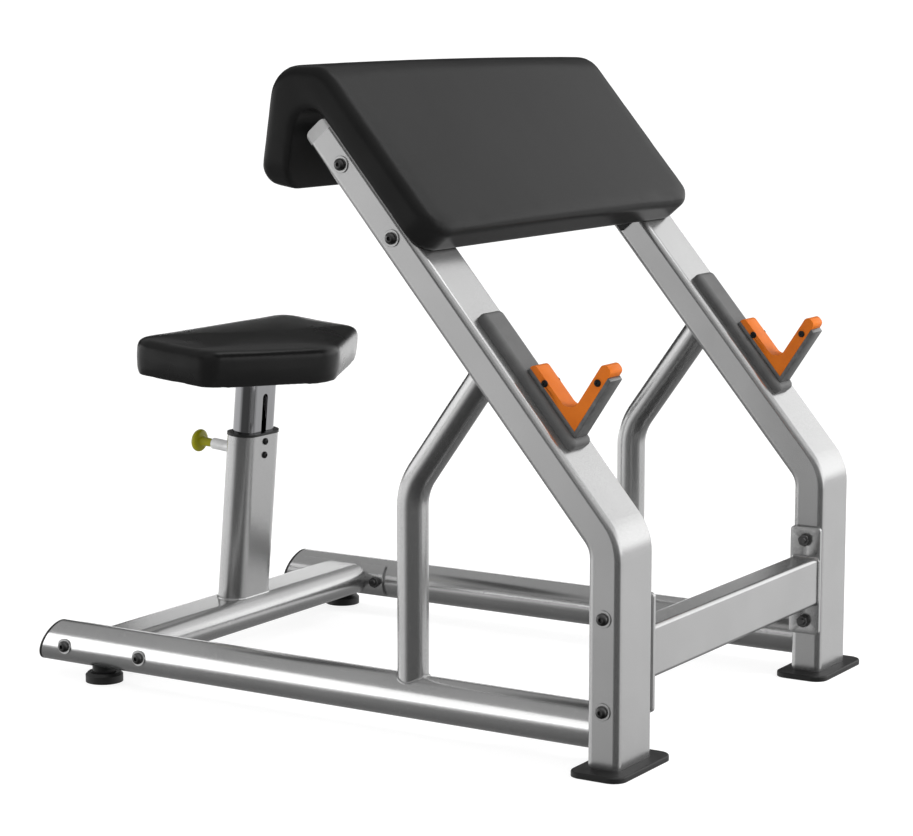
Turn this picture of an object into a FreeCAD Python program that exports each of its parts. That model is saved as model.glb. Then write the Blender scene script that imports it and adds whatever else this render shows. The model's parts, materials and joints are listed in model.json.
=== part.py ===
import FreeCAD, Part
import math
import os
import re
import Sketcher
from FreeCAD import Placement, Rotation, Vector

# Preacher curl bench: two bent uprights carry a wrap-over arm pad and two bar hooks,
# two floor rails run back to a rear cross tube, and a sprung pin sets the seat height.
# +X is forward, away from the user, +Z is up; "right" is the user's right hand, at -Y.
# The origin lies on the floor under the middle of the overall box.

# Driving dimensions in millimetres and degrees: name, value, meaning
SIZES = [
    # uprights
    ("track_half", 320, "centre plane to the middle of an upright and of a rail"),
    ("tube_depth", 49, "upright tube, front to back"),
    ("tube_width", 96, "upright tube, side to side"),
    ("tube_corner", 9, "upright tube, outer corner radius"),
    ("tube_wall", 3, "upright tube, wall"),
    ("bend_height", 302.9, "floor to the inner corner of the upright's bend"),
    ("bend_radius", 55, "upright's bend, on the tube's middle line"),
    ("slant_angle", 40.4, "lean of the upper part of the upright, from vertical"),
    ("slope_length", 691, "upper part of the upright, from the bend's corner to its end"),
    ("cap_thick", 17, "domed end cap on top of an upright"),
    ("cap_round", 15, "rounded front and back of that end cap"),
    ("plug_depth", 18, "how far a plug reaches into its tube"),
    ("plug_gap", 0.2, "plug to tube wall"),
    # front feet
    ("foot_length", 82, "front foot, front to back"),
    ("foot_width", 156, "front foot, side to side"),
    ("foot_forward", 1.8, "front foot's middle ahead of the upright's middle"),
    ("foot_corner", 20, "front foot, corner radius in plan"),
    ("foot_height", 8, "front foot, overall height"),
    ("foot_floor", 2.5, "rubber under the steel foot plate"),
    ("foot_rim", 7, "rubber round the steel foot plate"),
    ("foot_plate", 3.5, "steel foot plate"),
    ("foot_edge", 2.5, "rounded upper edge of the rubber foot"),
    # floor rails and their rear caps
    ("rail_diameter", 63.5, "floor rail"),
    ("rail_wall", 3, "floor rail, wall"),
    ("rail_height", 53.2, "floor to the middle of a rail"),
    ("rail_length", 977, "back of the upright to the rear tip of a rail"),
    ("rail_cut", 25, "lean of the rail's rear end, from square"),
    ("rail_cap", 4, "rear cap of a rail"),
    # braces
    ("brace_diameter", 44.5, "brace tube"),
    ("brace_wall", 2.5, "brace tube, wall"),
    ("brace_back", 305.5, "back of the upright to the upright part of the brace"),
    ("brace_bend_height", 352, "floor to the corner of the brace's bend"),
    ("brace_radius", 85, "brace's bend, on the tube's middle line"),
    ("brace_angle", 35.8, "lean of the brace's upper part, from vertical"),
    ("weld_gap", 0.1, "room left for a weld on a round tube"),
    # front crossbeam
    ("beam_depth", 44, "crossbeam, front to back"),
    ("beam_rise", 73, "crossbeam, top to bottom"),
    ("beam_corner", 6, "crossbeam, corner radius"),
    ("beam_wall", 3, "crossbeam, wall"),
    ("beam_height", 150, "floor to the middle of the crossbeam"),
    ("beam_plate", 6, "end plate of the crossbeam"),
    ("beam_plate_rise", 166, "end plate, top to bottom"),
    ("beam_plate_corner", 6, "end plate, corner radius"),
    ("beam_bolt_pitch", 126, "upper to lower bolt of an end plate"),
    # frame bolts
    ("bolt_diameter", 10, "frame bolt, shank"),
    ("bolt_hole_room", 0.3, "frame bolt to its hole, all round"),
    ("bolt_head", 17, "frame bolt, head diameter"),
    ("bolt_head_rise", 6, "frame bolt, head height"),
    ("bolt_head_round", 2.5, "frame bolt, rounded rim of the head"),
    ("washer_diameter", 24, "washer under a bolt head"),
    ("washer_thick", 2, "washer"),
    ("nut_width", 19, "nut, across its corners"),
    ("nut_rise", 8, "nut, height"),
    ("bolt_end", 3, "bolt end past its nut"),
    # rear cross tube and its saddles
    ("cross_inset", 133, "rear tip of a rail to the middle of the rear cross tube"),
    ("cross_width", 100, "rear cross tube, front to back"),
    ("cross_rise", 50, "rear cross tube, top to bottom"),
    ("cross_wall", 3, "rear cross tube, wall"),
    ("saddle_thick", 4, "saddle plate"),
    ("saddle_length", 168, "saddle plate, along the rail"),
    ("saddle_half_rise", 26, "saddle plate, middle to upper edge"),
    ("saddle_bolt_pitch", 143, "front to rear bolt of a saddle"),
    # rear feet
    ("rear_foot_inset", 112, "rear tip of a rail to the middle of its rear foot"),
    ("rear_foot_diameter", 57, "rear foot"),
    ("rear_foot_height", 15, "rear foot, rubber"),
    ("rear_foot_edge", 4, "rear foot, slope of its upper rim"),
    ("boss_diameter", 36, "steel boss between a rail and its foot"),
    ("foot_screw", 8, "screw of a rear foot, shank"),
    ("foot_screw_head", 16, "screw of a rear foot, head diameter"),
    ("foot_screw_head_rise", 4, "screw of a rear foot, head height"),
    ("foot_screw_recess", 4, "floor to the underside of that head"),
    # seat sleeve and post
    ("sleeve_forward", 5, "sleeve's foot ahead of the middle of the cross tube"),
    ("seat_lean", 5, "forward lean of sleeve and post"),
    ("sleeve_depth", 50, "sleeve, front to back"),
    ("sleeve_width", 100, "sleeve, side to side"),
    ("sleeve_wall", 2.5, "sleeve, wall"),
    ("sleeve_length", 266, "sleeve, along its axis"),
    ("post_depth", 40, "post, front to back"),
    ("post_width", 80, "post, side to side"),
    ("post_wall", 2.5, "post, wall"),
    ("oval_flat", 2, "flat left on the rounded sides of sleeve and post"),
    ("post_insertion", 195, "post inside the sleeve"),
    ("post_showing", 99, "sleeve's end to the underside of the seat plate"),
    ("slide_room", 0.3, "post to its bushing, all round"),
    ("collar_thick", 4, "collar of the bushing on top of the sleeve"),
    ("collar_lip", 1, "collar past the sleeve, all round"),
    ("liner_length", 60, "bushing inside the sleeve"),
    ("liner_gap", 0.1, "bushing to sleeve wall"),
    ("glide_rise", 24, "plastic glide on the post's lower end"),
    ("glide_gap", 0.4, "glide to sleeve wall"),
    # seat height holes, guide slot and guide screws
    ("hole_pitch", 25, "step of the seat height holes"),
    ("hole_diameter", 11, "seat height hole"),
    ("guide_slot_width", 13, "slot in the front of the post"),
    ("guide_slot_top", 33, "seat plate to the upper end of that slot"),
    ("guide_slot_length", 221, "slot in the front of the post, overall"),
    ("guide_screw", 6, "guide screw, shank"),
    ("guide_screw_head", 11, "guide screw, head diameter"),
    ("guide_screw_head_rise", 3.5, "guide screw, head height"),
    ("guide_screw_first", 10, "sleeve's end to the upper guide screw"),
    ("guide_screw_pitch", 22, "upper to lower guide screw"),
    # pull pin
    ("pin_drop", 31, "sleeve's end to the pull pin"),
    ("pin_diameter", 10, "pull pin, shank"),
    ("pin_room", 0.1, "pull pin to its barrel, all round"),
    ("pin_rest_gap", 1, "tip of the pulled pin to the post"),
    ("barrel_diameter", 18, "barrel of the pull pin"),
    ("barrel_nut", 24, "barrel's welded foot, diameter"),
    ("barrel_nut_rise", 7, "barrel's welded foot, height"),
    ("barrel_length", 52, "barrel, from the sleeve"),
    ("knob_gap", 12, "barrel's end to the pulled knob"),
    ("knob_neck", 15, "knob, neck diameter"),
    ("knob_neck_rise", 9, "knob, neck height"),
    ("knob_diameter", 37, "knob, head diameter"),
    ("knob_rise", 15, "knob, head height"),
    # seat
    ("seat_plate", 5, "steel plate on top of the post"),
    ("seat_plate_depth", 130, "seat plate, front to back"),
    ("seat_plate_width", 150, "seat plate, side to side"),
    ("seat_plate_corner", 12, "seat plate, corner radius"),
    ("seat_screw", 6, "seat screw, shank"),
    ("seat_screw_head", 12, "seat screw, head diameter"),
    ("seat_screw_head_rise", 3, "seat screw, head height"),
    ("seat_screw_inset", 14, "seat screw to the edge of the plate"),
    ("seat_screw_reach", 9, "seat screw into the board"),
    ("seat_board", 12, "seat board"),
    ("seat_board_inset", 9, "seat board inside the cushion's outline"),
    ("seat_rear", 100, "post axis to the rear edge of the seat"),
    ("seat_side", 157, "straight side of the seat, front to back"),
    ("seat_front", 151, "post axis to the nose of the seat"),
    ("seat_half_width", 204, "half of the seat's width"),
    ("seat_corner", 34, "seat, corner radius in plan"),
    ("seat_nose", 85, "seat, radius of its nose in plan"),
    ("seat_thick", 57, "seat with its board, at its edge"),
    ("seat_crown", 5, "rise of the seat's crown over its edge"),
    ("seat_edge", 14, "rounded upper edge of the seat"),
    ("seat_tuck", 5, "how far the seat's sides draw in below"),
    # arm pad
    ("pad_half_width", 380, "half of the arm pad's width"),
    ("pad_thick", 46, "arm pad at its edge"),
    ("pad_start", 457, "bend's corner to the lower end of the arm pad"),
    ("pad_slope", 261, "straight slope of the arm pad"),
    ("crest_radius", 43, "crest's middle to the middle lines of slope and flap"),
    ("crest_front", 46, "crest of the arm pad, front radius of its flat top"),
    ("crest_rear", 48, "crest of the arm pad, rear radius of its flat top"),
    ("crest_hollow", 30, "crest of the arm pad, radius inside"),
    ("flap_lean", 9, "lean of the rear flap, from vertical"),
    ("flap_length", 114, "straight part of the rear flap"),
    ("pad_crown", 3, "rise of the arm pad's crown over its edge"),
    ("pad_edge", 13, "rounded upper edge of the arm pad"),
    ("pad_tuck", 8, "rounded lower edge of the arm pad"),
    ("pad_corner", 42, "arm pad, corner radius in plan"),
    ("board_thick", 12, "boards set in the arm pad"),
    ("board_inset", 26, "boards inside the arm pad's outline"),
    ("angle_thick", 5, "angle bracket under the arm pad"),
    ("angle_foot", 40, "angle bracket, leg on the board"),
    ("angle_drop", 40, "angle bracket, leg on the upright"),
    ("angle_length", 190, "angle bracket, along the slope"),
    ("pad_bolt_first", 503, "bend's corner to the lower pad bolt"),
    ("pad_bolt_pitch", 128, "lower to upper pad bolt"),
    ("pad_screw", 6, "screw into a board, shank"),
    ("pad_screw_head", 12, "screw into a board, head diameter"),
    ("pad_screw_head_rise", 3, "screw into a board, head height"),
    ("pad_screw_pitch", 150, "lower to upper screw of an angle bracket"),
    # bar hooks
    ("guard_start", 123, "bend's corner to the lower end of the bar guard"),
    ("guard_length", 224, "bar guard, along the slope"),
    ("guard_width", 52, "bar guard, side to side"),
    ("guard_thick", 13, "bar guard"),
    ("guard_corner", 9, "bar guard, corner radius"),
    ("guard_edge", 8, "rounded outer edge of the bar guard"),
    ("hook_start", 133, "bend's corner to the outer corner of the hook"),
    ("hook_inset", 1.5, "bar hook's middle inside the upright's middle"),
    ("hook_width", 33, "bar hook, side to side"),
    ("hook_steel", 6, "bar hook, steel"),
    ("hook_back", 114, "bar hook, leg along the upright"),
    ("hook_reach", 102, "bar hook, outer leg"),
    ("hook_tilt", 16, "outer leg, turned up from square to the upright"),
    ("hook_tip", 9, "liner past the steel at the tip of the outer leg"),
    ("liner_back", 9, "hook liner on the leg along the upright"),
    ("liner_front", 17, "hook liner on the outer leg"),
    ("liner_tip_round", 7, "hook liner, rounded ends"),
    ("liner_hollow", 16, "hook liner, radius at the bottom of its V"),
    ("hook_screw", 5, "liner screw, shank"),
    ("hook_screw_head", 10, "liner screw, head diameter"),
    ("hook_screw_head_rise", 2.5, "liner screw, head height"),
    ("hook_screw_back_drop", 30, "end of the back leg to its liner screw"),
    ("hook_screw_front_drop", 26, "end of the outer leg to its liner screw"),
    ("overrun", 20, "how far cutting shapes run past what they cut"),
    ("pick_room", 0.5, "how near a face an edge lies to count as on it"),
]

# Places worked out from the driving dimensions, as expressions of them
PLACES = {
    "upright_back": "(rail_length - tube_depth/2 - foot_forward - foot_length/2)/2",
    "upright_mid": "upright_back + tube_depth/2",
    "foot_top": "foot_floor + foot_plate",
    "upright_tangent": "bend_radius*tan(slant_angle/2)",
    "upright_rise": "bend_height + tube_depth/2*tan(slant_angle/2) - upright_tangent - foot_top",
    "slope_end": "slope_length - tube_depth/2*tan(slant_angle/2)",
    "rail_radius": "rail_diameter/2",
    "brace_tangent": "brace_radius*tan(brace_angle/2)",
    "brace_run": "(brace_back*cos(slant_angle) - (brace_bend_height - bend_height)*sin(slant_angle))"
                 "/sin(brace_angle + slant_angle)",
    "bolt_hole": "bolt_diameter + 2*bolt_hole_room",
    "cross_back": "rail_length - cross_inset",
    "rear_foot_back": "rail_length - rear_foot_inset",
    "cross_mid": "upright_back - cross_back",
    "cross_top": "rail_height + cross_rise/2",
    "saddle_radius": "rail_radius + weld_gap + saddle_thick",
    "post_x": "cross_mid + sleeve_forward",
    "sleeve_corner": "(sleeve_depth - oval_flat)/2",
    "post_corner": "(post_depth - oval_flat)/2",
    "post_bottom": "sleeve_length - post_insertion",
    "seat_base": "sleeve_length + post_showing",
    "board_base": "seat_base + seat_plate",
    "pin_level": "sleeve_length - pin_drop",
    "pin_tip": "post_depth/2 + pin_rest_gap",
    "pin_out": "sleeve_depth/2",
    "angle_plane": "track_half - tube_width/2",
    "guard_top": "tube_depth + guard_thick",
    "pad_mid": "pad_thick/2",
    "crest_along": "pad_start + pad_slope",
    "crest_out": "tube_depth + pad_mid - crest_radius",
    "crest_x": "upright_back - crest_along*sin(slant_angle) + crest_out*cos(slant_angle)",
    "crest_z": "bend_height + crest_along*cos(slant_angle) + crest_out*sin(slant_angle)",
    "hook_side": "-track_half + hook_inset",
    "leg_rise": "tan(hook_tilt)",
    "leg_steel": "hook_steel/cos(hook_tilt)",
    "leg_total": "(hook_steel + liner_front)/cos(hook_tilt)",
    "knob_start": "pin_out + barrel_length + knob_gap",
}

# Depths at which a rounded edge is drawn, as shares of its radius
EDGE_SHARES = (0.02, 0.12, 0.35, 1)
# Depths past the rounded edge at which a plan corner is drawn, as shares of its radius
CORNER_SHARES = (0.65, 1)
# Stations along the arm pad's crown, as shares of its half width
PAD_CROWN_SHARES = (0.6, 0.3, 0)
# Rows of the seat's crown: share of the outline that is left, and share of the crown reached
SEAT_CROWN_SHARES = ((0.7, 0.5), (0.45, 0.85), (0.2, 1))
# Outline of the knob's head: shares of its radius and of its height
KNOB_SHARES = ((0.8, 0), (1, 0.3), (0.97, 0.6), (0.8, 0.85), (0.45, 1))
# Seat height holes above and below the one at the pin
HOLES_ABOVE = 2
HOLES_BELOW = 4

doc = FreeCAD.newDocument("preacher_curl_bench")
sheet = doc.addObject("Spreadsheet::Sheet", "Sizes")
for row, (alias, value, meaning) in enumerate(SIZES, 1):
    sheet.set(f"A{row}", alias)
    sheet.set(f"B{row}", str(value))
    sheet.set(f"C{row}", meaning)
    sheet.setAlias(f"B{row}", alias)
doc.recompute()
ALIASES = {alias for alias, value, meaning in SIZES}
nodes = {}


def bound(text):
    """Expression for the sheet: places are opened up and names point at their cells."""
    def open_name(match):
        word = match.group(0)
        if word in PLACES:
            return "(" + bound(PLACES[word]) + ")"
        if word in ALIASES:
            return "Sizes." + word
        return word
    return re.sub(r"[a-z_]+", open_name, text)


def number(text):
    """Value of an expression at the sizes in the sheet."""
    return float(sheet.evalExpression(bound(text)))


def bind(target, path, text):
    target.setExpression(path, bound(text))


def place(target, x="0", y="0", z="0", lean=None, back=False):
    """Put an object at x, y, z, leaned forward about Y, or back with back set."""
    if lean:
        axis = Vector(0, -1, 0) if back else Vector(0, 1, 0)
        target.Placement = Placement(Vector(), Rotation(axis, number(lean)))
        bind(target, ".Placement.Rotation.Angle", lean)
    bind(target, ".Placement.Base.x", x)
    bind(target, ".Placement.Base.y", y)
    bind(target, ".Placement.Base.z", z)
    return target


def on_slope(target, side="-track_half", along="0", out="0"):
    """Frame of an upright's slope: Z runs up along its underside, X out of its front."""
    x = f"upright_back - ({along})*sin(slant_angle) + ({out})*cos(slant_angle)"
    z = f"bend_height + ({along})*cos(slant_angle) + ({out})*sin(slant_angle)"
    return place(target, x, side, z, "slant_angle", back=True)


def on_flap(target, side, along, out):
    """Frame of the rear flap: Z runs up it from the crest's middle, X to its inner face."""
    x = f"crest_x - ({out})*cos(flap_lean) + ({along})*sin(flap_lean)"
    z = f"crest_z + ({out})*sin(flap_lean) + ({along})*cos(flap_lean)"
    return place(target, x, side, z, "flap_lean")


def on_post(target, along):
    """Frame of the seat post: Z runs up its axis, X to its front."""
    x = f"post_x + ({along})*sin(seat_lean)"
    z = f"cross_top + ({along})*cos(seat_lean)"
    return place(target, x, "0", z, "seat_lean")


def on_pin(target, out):
    """Frame of the pull pin: Z runs out of the sleeve's back along the pin."""
    x = f"post_x + pin_level*sin(seat_lean) - ({out})*cos(seat_lean)"
    z = f"cross_top + pin_level*cos(seat_lean) + ({out})*sin(seat_lean)"
    return place(target, x, "0", z, "90 - seat_lean", back=True)


# Sketches and features


def new_body(name):
    return doc.addObject("PartDesign::Body", name)


def new_sketch(body, role):
    sketch = body.newObject("Sketcher::SketchObject", body.Name + "_sketch")
    plane = next(item for item in body.Origin.OriginFeatures if item.Role == role)
    sketch.AttachmentSupport = [(plane, "")]
    sketch.MapMode = "FlatFace"
    return sketch


def hold(sketch, kind, items, text):
    """Add a dimension to a sketch and bind it to its expression."""
    index = sketch.addConstraint(Sketcher.Constraint(kind, *items, number(text)))
    bind(sketch, f"Constraints[{index}]", text)


def pin_point(sketch, item, end, x=None, y=None):
    """Hold one point of a sketch at x and y from its origin."""
    for kind, axis, text in (("DistanceX", -2, x), ("DistanceY", -1, y)):
        if text == "0":
            sketch.addConstraint(Sketcher.Constraint("PointOnObject", item, end, axis))
        elif text is not None:
            hold(sketch, kind, (-1, 1, item, end), text)


def join(sketch, first, first_end, second, second_end):
    sketch.addConstraint(Sketcher.Constraint("Coincident", first, first_end, second, second_end))


def add_line(sketch, start, end):
    return sketch.addGeometry(Part.LineSegment(Vector(*start), Vector(*end)))


def add_polygon(sketch, points):
    spots = [(number(x), number(y)) for x, y in points]
    lines = [add_line(sketch, a, b) for a, b in zip(spots, spots[1:] + spots[:1])]
    for line, after, (x, y) in zip(lines, lines[1:] + lines[:1], points):
        join(sketch, line, 2, after, 1)
        pin_point(sketch, line, 1, x, y)


def add_circle(sketch, diameter, x="0", y="0"):
    spot = Vector(number(x), number(y))
    item = sketch.addGeometry(Part.Circle(spot, Vector(0, 0, 1), number(diameter)/2))
    hold(sketch, "Diameter", (item,), diameter)
    pin_point(sketch, item, 3, x, y)


def link_round(sketch, arcs, lines):
    """Join arcs and lines into one smooth closed outline, each arc before its line."""
    count = len(arcs)
    for i in range(count):
        sketch.addConstraint(Sketcher.Constraint("Tangent", arcs[i], 2, lines[i], 1))
        sketch.addConstraint(Sketcher.Constraint("Tangent", lines[i], 2, arcs[(i + 1) % count], 1))
    for arc in arcs[1:]:
        sketch.addConstraint(Sketcher.Constraint("Equal", arcs[0], arc))


def add_arcs(sketch, middles, starts, turn, radius):
    """Arcs of one radius about their middles, and the lines from each to the next."""
    arcs, ends = [], []
    for middle, start in zip(middles, starts):
        circle = Part.Circle(middle, Vector(0, 0, 1), radius)
        arc = Part.ArcOfCircle(circle, math.radians(start), math.radians(start + turn))
        arcs.append(sketch.addGeometry(arc))
        ends.append((arc.StartPoint, arc.EndPoint))
    lines = [sketch.addGeometry(Part.LineSegment(this[1], after[0]))
             for this, after in zip(ends, ends[1:] + ends[:1])]
    return arcs, lines


def add_rounded(sketch, width, rise, radius, x="0", y="0"):
    """Rounded rectangle about x, y."""
    corners = (("+", "-"), ("+", "+"), ("-", "+"), ("-", "-"))
    spots = [(f"{x} {a} ({width}/2 - ({radius}))", f"{y} {b} ({rise}/2 - ({radius}))") for a, b in corners]
    middles = [Vector(number(a), number(b)) for a, b in spots]
    arcs, lines = add_arcs(sketch, middles, (-90, 0, 90, 180), 90, number(radius))
    link_round(sketch, arcs, lines)
    for arc, (a, b) in zip(arcs, spots):
        pin_point(sketch, arc, 3, a, b)
    hold(sketch, "Radius", (arcs[0],), radius)


def add_slot(sketch, diameter, first, second, start):
    """Slot between two middles; start is the angle where the first end's arc begins."""
    middles = [Vector(number(a), number(b)) for a, b in (first, second)]
    arcs, lines = add_arcs(sketch, middles, (start, start + 180), 180, number(diameter)/2)
    link_round(sketch, arcs, lines)
    for arc, (a, b) in zip(arcs, (first, second)):
        pin_point(sketch, arc, 3, a, b)
    hold(sketch, "Diameter", (arcs[0],), diameter)


def pad(body, sketch, length, symmetric=False, back=False):
    feature = body.newObject("PartDesign::Pad", body.Name + "_pad")
    feature.Profile = sketch
    feature.SideType = "Symmetric" if symmetric else "One side"
    feature.Reversed = back
    bind(feature, "Length", length)
    return feature


def pocket_through(body, sketch, length):
    """Cut a sketch through the body, half of the length to each side."""
    feature = body.newObject("PartDesign::Pocket", body.Name + "_pocket")
    feature.Profile = sketch
    feature.SideType = "Symmetric"
    bind(feature, "Length", length)


def fillet(body, base, radius, chosen):
    """Round the edges of a feature that the test picks."""
    doc.recompute()
    names = [f"Edge{i}" for i, edge in enumerate(base.Shape.Edges, 1) if chosen(edge.BoundBox)]
    feature = body.newObject("PartDesign::Fillet", body.Name + "_fillet")
    feature.Base = (base, names)
    bind(feature, "Radius", radius)
    return feature


def turned(name, points):
    """Solid of revolution about its own Z axis."""
    body = new_body(name)
    sketch = new_sketch(body, "XZ_Plane")
    add_polygon(sketch, points)
    feature = body.newObject("PartDesign::Revolution", name + "_turn")
    feature.Profile = sketch
    feature.ReferenceAxis = (sketch, ["V_Axis"])
    return body


def bent_path(body, rise, radius, angle, run, side):
    """Path in the XZ plane: up, round one bend and on, to the front or (side -) the back."""
    sketch = new_sketch(body, "XZ_Plane")
    reach = f"{side}({radius}*(1 - cos({angle})))"
    end = (f"{reach} {side} ({run})*sin({angle})",
           f"{rise} + {radius}*sin({angle}) + ({run})*cos({angle})")
    start_text = ("0", rise)
    bend_text = (reach, f"{rise} + {radius}*sin({angle})")
    bottom, start, bend, top = [Vector(number(a), number(b))
                                for a, b in (("0", "0"), start_text, bend_text, end)]
    middle = Vector(number(f"{side}{radius}"), number(rise))
    circle = Part.Circle(middle, Vector(0, 0, 1), number(radius))
    turn = (bend, start) if side == "+" else (start, bend)
    first = sketch.addGeometry(Part.LineSegment(bottom, start))
    arc = sketch.addGeometry(Part.ArcOfCircle(circle, *[circle.parameter(point) for point in turn]))
    last = sketch.addGeometry(Part.LineSegment(bend, top))
    near, far = (2, 1) if side == "+" else (1, 2)
    join(sketch, first, 1, -1, 1)
    join(sketch, first, 2, arc, near)
    join(sketch, arc, far, last, 1)
    pin_point(sketch, first, 2, *start_text)
    pin_point(sketch, arc, 3, f"{side}{radius}", rise)
    pin_point(sketch, arc, far, None, bend_text[1])
    pin_point(sketch, last, 2, *end)
    return sketch


def bent_tube(name, draw, wall, path_sizes):
    """Tube swept along a bent path; draw adds its section, shrunk by a wall, to a sketch."""
    body = new_body(name)
    path = bent_path(body, *path_sizes)
    for kind, shrink in (("AdditivePipe", "0"), ("SubtractivePipe", wall)):
        section = new_sketch(body, "XY_Plane")
        draw(section, shrink)
        feature = body.newObject("PartDesign::" + kind, f"{name}_{kind}")
        feature.Profile = section
        feature.Spine = (path, ["Edge1", "Edge2", "Edge3"])
    return body


def block(name, length, width, rise):
    box = doc.addObject("Part::Box", name)
    for path, text in (("Length", length), ("Width", width), ("Height", rise)):
        bind(box, path, text)
    return box


def rod(name, radius, length):
    cylinder = doc.addObject("Part::Cylinder", name)
    bind(cylinder, "Radius", radius)
    bind(cylinder, "Height", length)
    return cylinder


def cut(name, base, *tools):
    """Base without its tools, as one object."""
    for i, tool in enumerate(tools):
        result = doc.addObject("Part::Cut", f"{name}_cut{i}")
        result.Base = base
        result.Tool = tool
        base = result
    return base


def common(name, first, second):
    result = doc.addObject("Part::Common", name + "_common")
    result.Base = first
    result.Tool = second
    return result


def copies(name, source, spots):
    """One node of separate equal solids, the source at each placement."""
    doc.recompute()
    group = doc.addObject("Part::Feature", name)
    shapes = []
    for spot in spots:
        shape = source.Shape.copy()
        shape.Placement = spot
        shapes.append(shape)
    group.Shape = Part.makeCompound(shapes)
    nodes[name] = group


def both_sides(name, source):
    """The right-hand piece and its mirror image on the left."""
    nodes["right_" + name] = source
    mirror = doc.addObject("Part::Mirroring", "left_" + name)
    mirror.Source = source
    mirror.Normal = Vector(0, 1, 0)
    nodes["left_" + name] = mirror


def across(spots, out):
    """Placements of pieces that point inward from both sides, at x, z texts."""
    return [Placement(Vector(number(x), side*number(out), number(z)), Rotation(Vector(1, 0, 0), side*90))
            for side in (-1, 1) for x, z in spots]


def rounded_wire(points, radii):
    """Closed wire through the corners, each rounded by its own radius."""
    edges, starts, ends = [], [], []
    for i, (corner, radius) in enumerate(zip(points, radii)):
        back = (points[i - 1] - corner).normalize()
        ahead = (points[(i + 1) % len(points)] - corner).normalize()
        half = back.getAngle(ahead)/2
        middle = corner + (back + ahead).normalize()*(radius/math.sin(half))
        starts.append(corner + back*(radius/math.tan(half)))
        ends.append(corner + ahead*(radius/math.tan(half)))
        crown = middle + (corner - middle).normalize()*radius
        edges.append(Part.Arc(starts[-1], crown, ends[-1]).toShape())
    for i in range(len(points)):
        edges.insert(2*i + 1, Part.LineSegment(ends[i], starts[(i + 1) % len(points)]).toShape())
    return Part.Wire(edges)


def retreat(depth, radius):
    """How far a rounded edge has drawn back at a depth below its top."""
    if depth >= radius:
        return 0
    return radius - math.sqrt(radius**2 - (radius - depth)**2)


# Uprights, their end caps and their feet


def upright_section(sketch, shrink):
    add_rounded(sketch, f"(tube_depth - 2*{shrink})", f"(tube_width - 2*{shrink})",
                f"(tube_corner - {shrink})")


PAD_BOLTS = ("pad_bolt_first", "(pad_bolt_first + pad_bolt_pitch)")
BEAM_BOLTS = ("(beam_height - beam_bolt_pitch/2)", "(beam_height + beam_bolt_pitch/2)")


def pad_bolt_spot(along):
    """Pad bolt, from the middle of the upright's back face at the floor."""
    x = f"tube_depth/2*cos(slant_angle) - {along}*sin(slant_angle)"
    z = f"bend_height + tube_depth/2*sin(slant_angle) + {along}*cos(slant_angle)"
    return x, z


def make_uprights():
    run = "slope_length - upright_tangent"
    path = ("upright_rise", "bend_radius", "slant_angle", run, "-")
    upright = bent_tube("upright", upright_section, "tube_wall", path)
    holes = new_sketch(upright, "XZ_Plane")
    for level in BEAM_BOLTS:
        add_circle(holes, "bolt_hole", "0", f"{level} - foot_top")
    for along in PAD_BOLTS:
        x, z = pad_bolt_spot(along)
        add_circle(holes, "bolt_hole", f"{x} - tube_depth/2", f"{z} - foot_top")
    pocket_through(upright, holes, "2*tube_width")
    place(upright, "upright_mid", "-track_half", "foot_top")
    both_sides("upright", upright)

    cap = new_body("upright_cap")
    rim = new_sketch(cap, "XY_Plane")
    add_rounded(rim, "tube_depth", "tube_width", "tube_corner", "tube_depth/2")
    pad(cap, rim, "cap_thick")
    plug = new_sketch(cap, "XY_Plane")
    room = "(tube_wall + plug_gap)"
    add_rounded(plug, f"(tube_depth - 2*{room})", f"(tube_width - 2*{room})",
                f"(tube_corner - {room})", "tube_depth/2")
    pad(cap, plug, "plug_depth", back=True)
    on_slope(cap, along="slope_end")
    dome = new_body("cap_dome")
    sketch = new_sketch(dome, "XZ_Plane")
    add_rounded(sketch, "tube_depth", "2*(cap_thick + 2*plug_depth)", "cap_round",
                "tube_depth/2", "-2*plug_depth")
    pad(dome, sketch, "2*tube_width", symmetric=True)
    on_slope(dome, along="slope_end")
    both_sides("upright_cap", common("upright_cap", cap, dome))


def make_front_feet():
    plate = new_body("foot_plate_body")
    sketch = new_sketch(plate, "XY_Plane")
    add_rounded(sketch, "(foot_length - 2*foot_rim)", "(foot_width - 2*foot_rim)", "(foot_corner - foot_rim)")
    pad(plate, sketch, "foot_plate")
    place(plate, "upright_mid + foot_forward", "-track_half", "foot_floor")
    both_sides("foot_plate", plate)

    opening = new_body("foot_opening")
    sketch = new_sketch(opening, "XY_Plane")
    add_rounded(sketch, "(tube_depth + 2*plug_gap)", "(tube_width + 2*plug_gap)", "(tube_corner + plug_gap)")
    pad(opening, sketch, "foot_height")
    place(opening, "upright_mid", "-track_half", "foot_top")

    shoe = new_body("foot_shoe")
    sketch = new_sketch(shoe, "XY_Plane")
    add_rounded(sketch, "foot_length", "foot_width", "foot_corner")
    block_pad = pad(shoe, sketch, "foot_height")
    fillet(shoe, block_pad, "foot_edge", lambda box: box.ZMin > number("foot_height/2"))
    place(shoe, "upright_mid + foot_forward", "-track_half", "0")
    both_sides("front_foot", cut("front_foot", shoe, plate, opening))


# Floor rails, their rear caps and the braces


def along_rails(name, radius, start, length, side="-track_half"):
    """Rod along X on the middle line of a rail."""
    return place(rod(name, radius, length), start, side, "rail_height", "90")


def rail_end(name, start, depth):
    """Block square to the leaned rear end of a rail, from start on along its normal."""
    box = block(name, depth, "2*rail_diameter", "3*rail_diameter")
    x = f"upright_back - rail_length + ({start})*cos(rail_cut) - rail_diameter*sin(rail_cut)"
    z = f"rail_height - rail_radius - ({start})*sin(rail_cut) - rail_diameter*cos(rail_cut)"
    return place(box, x, "-track_half - rail_diameter", z, "rail_cut")


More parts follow.
